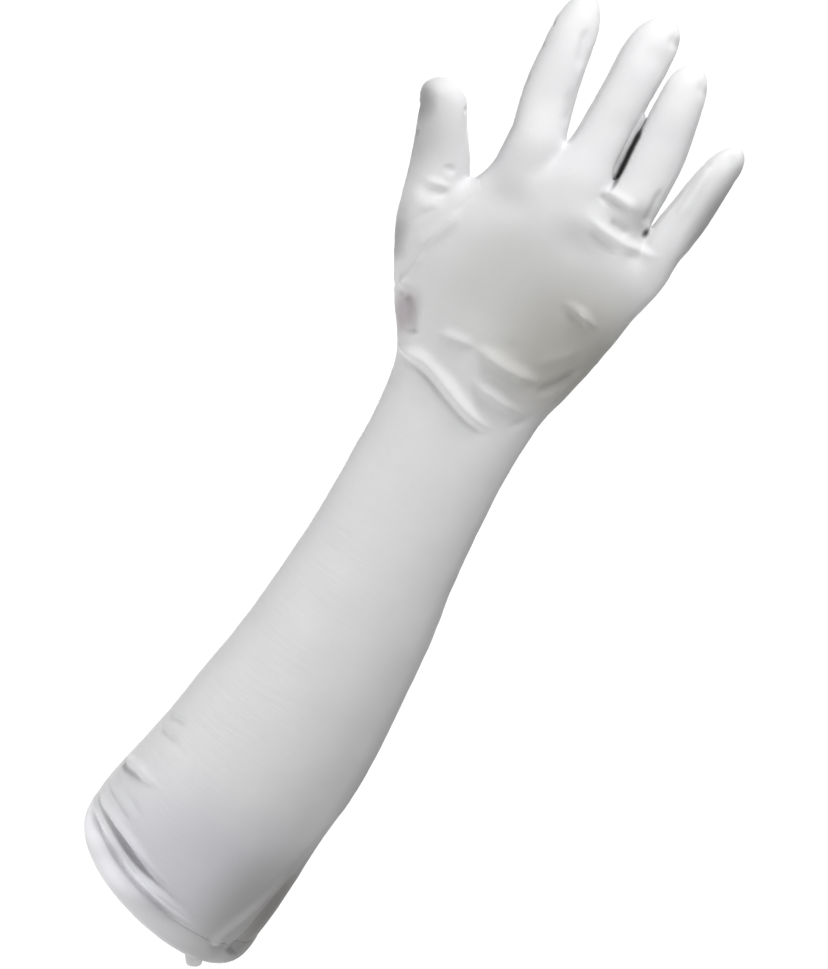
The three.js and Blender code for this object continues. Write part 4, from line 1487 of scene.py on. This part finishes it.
@dataclass
class SewnPanels:
    """The panels cut from the glove's skin, each with the thickness of the cloth."""

    skin: bpy.types.Mesh
    cotton: bpy.types.Material
    cloth: float = 1.2
    rim_angle: float = 55.0

    def build(self) -> list[bpy.types.Object]:
        """Cuts, thickens and dresses every panel, and hides the imported part that it stands for.

        Returns:
            The pieces.
        """
        pieces = []
        for cut in CUTS:
            mesh = finished(self._cut(cut), cut.node + "_cloth", self._thicken)
            piece = place_piece(mesh, cut.node + "_cloth", self.cotton)
            mesh.set_sharp_from_angle(angle=math.radians(self.rim_angle))
            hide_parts(cut.node)
            pieces.append(piece)
        return pieces

    def _cut(self, cut: Cut) -> bpy.types.Mesh:
        """Copies the skin and cuts all but one panel away.

        Args:
            cut: The panel to keep.

        Returns:
            The panel's own surface.
        """
        cutter = bmesh.new()
        cutter.from_mesh(self.skin)
        layer = cutter.faces.layers.int["panel"]
        others = [face for face in cutter.faces if face[layer] != cut.panel]
        bmesh.ops.delete(cutter, geom=others, context="FACES")
        return as_mesh(cutter, cut.node + "_surface")

    def _thicken(self, piece: bpy.types.Object) -> None:
        """Gives a panel its thickness, inwards.

        Args:
            piece: The object that holds the panel's surface.
        """
        wall = piece.modifiers.new("cloth", "SOLIDIFY")
        wall.thickness = self.cloth * MM
        wall.offset = -1.0


@dataclass
class TurnedHem:
    """The hem: the cloth turned up inside, in a soft roll below its stitching."""

    form: HandForm
    relief: Relief
    cotton: bpy.types.Material
    flat: tuple[float, float] = (0.27, 0.012)
    area: float = 0.00324
    # The hem's section: height, and distance out from the arm's plain surface.
    section: tuple[tuple[float, float], ...] = (
        (-235.5, -0.6), (-236.3, -0.1), (-237.6, 0.2), (-239.6, 0.6), (-242.4, 0.8),
        (-245.2, 0.65), (-246.9, 0.05), (-247.3, -0.9), (-246.8, -1.8), (-245.0, -2.3),
        (-242.0, -2.4), (-238.8, -2.4), (-236.6, -2.2), (-236.1, -1.4),
    )

    def build(self) -> bpy.types.Object:
        """Draws the section round the arm, closes it, and gives it the folds that reach it.

        Returns:
            The piece.
        """
        cage = Cage()
        outward_layer = cage.mesh.verts.layers.float_vector.new("outward")
        first = rim = cage.start(self._ring(*self.section[0]))
        self._face(rim, outward_layer, self.section[0][0])
        for height, out in self.section[1:]:
            rim = cage.draw(rim, self._ring(height, out), lambda place: Panel.PALM)
            self._face(rim, outward_layer, height)
        bmesh.ops.bridge_loops(cage.mesh, edges=first.edges() + rim.edges())
        mesh = cage.smoothed("hem_cloth")
        outward = vectors(mesh.attributes["outward"].data, "vector")
        self.relief.shape(mesh, outward)
        piece = place_piece(mesh, "cuff_hem_cloth", self.cotton)
        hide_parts("cuff_hem")
        return piece

    def _ring(self, height: float, out: float) -> list[Vector]:
        """The places of one ring of the hem."""
        columns = range(AROUND)
        form = self.form
        return [form.trunk_point(c, height) + form.trunk_outward(c, height) * out for c in columns]

    def _face(self, ring: Ring, layer: object, height: float) -> None:
        """Keeps which way the arm faces at each corner of a ring."""
        for column, corner in enumerate(ring.corners):
            corner[layer] = self.form.trunk_outward(column, height)


@dataclass
class SeamEnd:
    """The end of the side seam: its allowances, folded to a small tab that peeks out below the hem."""

    cotton: bpy.types.Material
    root: tuple[float, float, float] = (14.6, -18.6, -255.0)
    down: tuple[float, float, float] = (0.485, -0.04, -0.875)
    across: tuple[float, float, float] = (0.875, 0.0, 0.485)
    length: float = 8.0
    # The share of the length, the half width and the half thickness.
    rings: tuple[tuple[float, float, float], ...] = (
        (0.0, 4.4, 0.8),
        (0.35, 3.9, 1.2),
        (0.6, 3.8, 1.5),
        (0.8, 3.5, 1.3),
    )
    tip_arc: tuple[float, ...] = (30.0, 60.0)
    # The share of its thickness that is left in its middle.
    pinch: float = 0.7
    corners: int = 12

    def build(self) -> bpy.types.Object:
        """Draws the tab down from inside the hem.

        Returns:
            The piece.
        """
        cage = Cage()
        rim = cage.start(self._ring(*self.rings[0]))
        bmesh.ops.contextual_create(cage.mesh, geom=rim.edges())
        for share, width, thickness in self.rings[1:]:
            rim = cage.draw(rim, self._ring(share, width, thickness), lambda place: Panel.BACK)
        tip = Vector(self.root) + Vector(self.down) * self.length
        cage.close(rim, tip, self.tip_arc, lambda place: Panel.BACK)
        return place_piece(cage.smoothed("seam_end"), "seam_end", self.cotton)

    def _ring(self, share: float, width: float, thickness: float) -> list[Vector]:
        """Places one ring, pinched in its middle where the two allowances meet.

        Args:
            share: How far down the tab it is.
            width: Its half width.
            thickness: Its half thickness.

        Returns:
            The place of each corner.
        """
        centre = Vector(self.root) + Vector(self.down) * self.length * share
        places = []
        for corner in range(self.corners):
            turn = 2 * math.pi * corner / self.corners
            deep = thickness * math.sin(turn) * lerp(self.pinch, 1.0, math.cos(turn) ** 2)
            places.append(centre + Vector(self.across) * width * math.cos(turn) + Vector((0, deep, 0)))
        return places


@dataclass
class HemStitching:
    """The row of small stitches that holds the hem."""

    form: HandForm
    relief: Relief
    thread: bpy.types.Material
    length: float = 2.1
    pitch: float = 2.7
    thickness: float = 0.42
    sunk: float = 0.26
    facets: tuple[int, int] = (8, 5)

    def build(self) -> bpy.types.Object:
        """Lays the stitches round the arm.

        Returns:
            The piece.
        """
        line = [self.form.trunk_point(column, self.form.stitch_line) for column in range(AROUND)]
        outward = [self.form.trunk_outward(column, self.form.stitch_line) for column in range(AROUND)]
        heights = self.relief.lift(np.array(line), np.array(outward)) - self.sunk
        line = [place + up * height for place, up, height in zip(line, outward, heights)]
        lengths = [(line[(i + 1) % AROUND] - line[i]).length for i in range(AROUND)]
        total = sum(lengths)
        count = round(total / self.pitch)
        stitches = bmesh.new()
        for number in range(count):
            left = total * number / count
            column = 0
            while left > lengths[column]:
                left -= lengths[column]
                column += 1
            share = left / lengths[column]
            after = (column + 1) % AROUND
            run = (line[after] - line[column]).normalized()
            up = outward[column].lerp(outward[after], share).normalized()
            place = line[column].lerp(line[after], share)
            turn = Matrix((run, up.cross(run), up)).transposed().to_4x4()
            size = Matrix.Diagonal((self.length / 2, self.thickness / 2, self.thickness / 2, 1.0))
            bmesh.ops.create_uvsphere(
                stitches,
                u_segments=self.facets[0],
                v_segments=self.facets[1],
                radius=1,
                matrix=Matrix.Translation(place) @ turn @ size,
            )
        bmesh.ops.scale(stitches, vec=Vector((MM, MM, MM)), verts=stitches.verts)
        mesh = as_mesh(stitches, "hem_stitching")
        return place_piece(mesh, "hem_stitching", self.thread)


@dataclass(frozen=True)
class Lamp:
    """A square soft light, or a sun where it has no width, that shines from its place to its aim.

    Its places and width are in metres, and its power is in watts or, for a sun, in watts per square metre.
    """

    name: str
    place: tuple[float, float, float]
    aim: tuple[float, float, float]
    power: float
    width: float = 0.0


@dataclass
class Studio:
    """A pale floor, soft light and the camera, at the photograph's viewing angle, in metres and degrees."""

    elevation: float = 14.0
    roll: float = 29.0
    distance: float = 1.25
    target: tuple[float, float, float] = (0.0015, 0.0, -0.0428)
    # The lens, the sensor and how far the camera sees: two lengths in millimetres and one in metres.
    lens: float = 116.1
    sensor: float = 36.0
    sight: float = 200.0
    floor_height: float = -0.62
    floor_size: float = 80.0
    floor_colour: tuple[float, float, float, float] = (0.95, 0.95, 0.95, 1.0)
    floor_roughness: float = 0.9
    space_colour: tuple[float, float, float, float] = (0.98, 0.98, 0.98, 1.0)
    sun_spread: float = 24.0
    lamps: tuple[Lamp, ...] = (
        Lamp("overhead", (0.0, -0.15, 1.0), (0.0, 0.0, 0.0), 2.83),
        Lamp("rear", (0.0, 0.6, 0.8), (0.0, 0.0, 0.0), 0.7),
        Lamp("behind", (0.0, 1.0, 0.25), (0.0, 0.0, 0.0), 0.9),
        Lamp("fingers", (0.0, -0.22, 0.32), (0.0, 0.0, 0.13), 0.93, 0.2),
        Lamp("arm", (-0.15, -0.3, 0.0), (0.0, 0.0, -0.13), 0.19, 0.2),
        Lamp("cuff", (-0.3, -0.22, -0.3), (-0.04, 0.0, -0.22), 0.66, 0.25),
    )

    def build(self) -> None:
        """Makes the floor, the world, the lights and the camera."""
        self._floor()
        self._world()
        for lamp in self.lamps:
            self._light(lamp)
        self._camera()

    def _floor(self) -> None:
        """Lays the floor."""
        sheet = bmesh.new()
        bmesh.ops.create_grid(sheet, x_segments=1, y_segments=1, size=self.floor_size / 2)
        bmesh.ops.translate(sheet, vec=(0, 0, self.floor_height), verts=sheet.verts)
        mesh = as_mesh(sheet, "floor")
        bench = NodeBench("pale_floor")
        mesh.materials.append(bench.finish(Base_Color=self.floor_colour, Roughness=self.floor_roughness))
        floor = stand("floor", mesh)

    def _world(self) -> None:
        """Makes the space beyond the floor as pale as the floor."""
        world = bpy.data.worlds.new("studio")
        world.use_nodes = True
        background = world.node_tree.nodes["Background"]
        background.inputs["Color"].default_value = self.space_colour
        background.inputs["Strength"].default_value = 1.0
        bpy.context.scene.world = world
        # It shows behind the floor's edge and lights nothing.
        world.cycles_visibility.diffuse = False
        world.cycles_visibility.glossy = False
        bpy.context.scene.view_settings.view_transform = "Standard"

    def _light(self, lamp: Lamp) -> None:
        """Hangs a light.

        Args:
            lamp: What it is like.
        """
        light = bpy.data.lights.new(lamp.name, "AREA" if lamp.width else "SUN")
        light.energy = lamp.power
        if lamp.width:
            light.size = lamp.width
        else:
            light.angle = math.radians(self.sun_spread)
        hung = stand(lamp.name, light)
        hung.location = lamp.place
        hung.rotation_euler = (Vector(lamp.aim) - Vector(lamp.place)).to_track_quat("-Z", "Y").to_euler()

    def _camera(self) -> None:
        """Sets the camera up: it looks slightly down at the palm and is rolled to the picture's diagonal."""
        tilt = Matrix.Rotation(math.radians(90 - self.elevation), 4, "X")
        roll = Matrix.Rotation(math.radians(self.roll), 4, "Z")
        turn = tilt @ roll
        back = (turn @ Vector((0, 0, 1, 0))).to_3d()
        camera = stand("camera", bpy.data.cameras.new("camera"))
        camera.matrix_world = Matrix.Translation(Vector(self.target) + back * self.distance) @ turn
        camera.data.lens = self.lens
        camera.data.sensor_width = self.sensor
        camera.data.clip_end = self.sight
        bpy.context.scene.camera = camera


def main() -> None:
    """Builds the glove and its studio."""
    logging.basicConfig(level=logging.INFO, format="%(name)s: %(message)s")
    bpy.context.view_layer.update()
    form = HandForm()
    relief = Relief()
    cotton = StretchCotton().make()
    skin = GloveSkin(form).build()
    relief.shape(skin)
    LOG.info("skin: %d faces", len(skin.polygons))
    pieces = SewnPanels(skin, cotton).build()
    bpy.data.meshes.remove(skin)
    pieces.append(TurnedHem(form, relief, cotton).build())
    pieces.append(SeamEnd(cotton).build())
    pieces.append(HemStitching(form, relief, SewingThread().make()).build())
    for piece in pieces:
        LOG.info("%s: %d faces", piece.name, len(piece.data.polygons))
    Studio().build()
    bpy.context.view_layer.update()


if __name__ == "__main__":
    main()
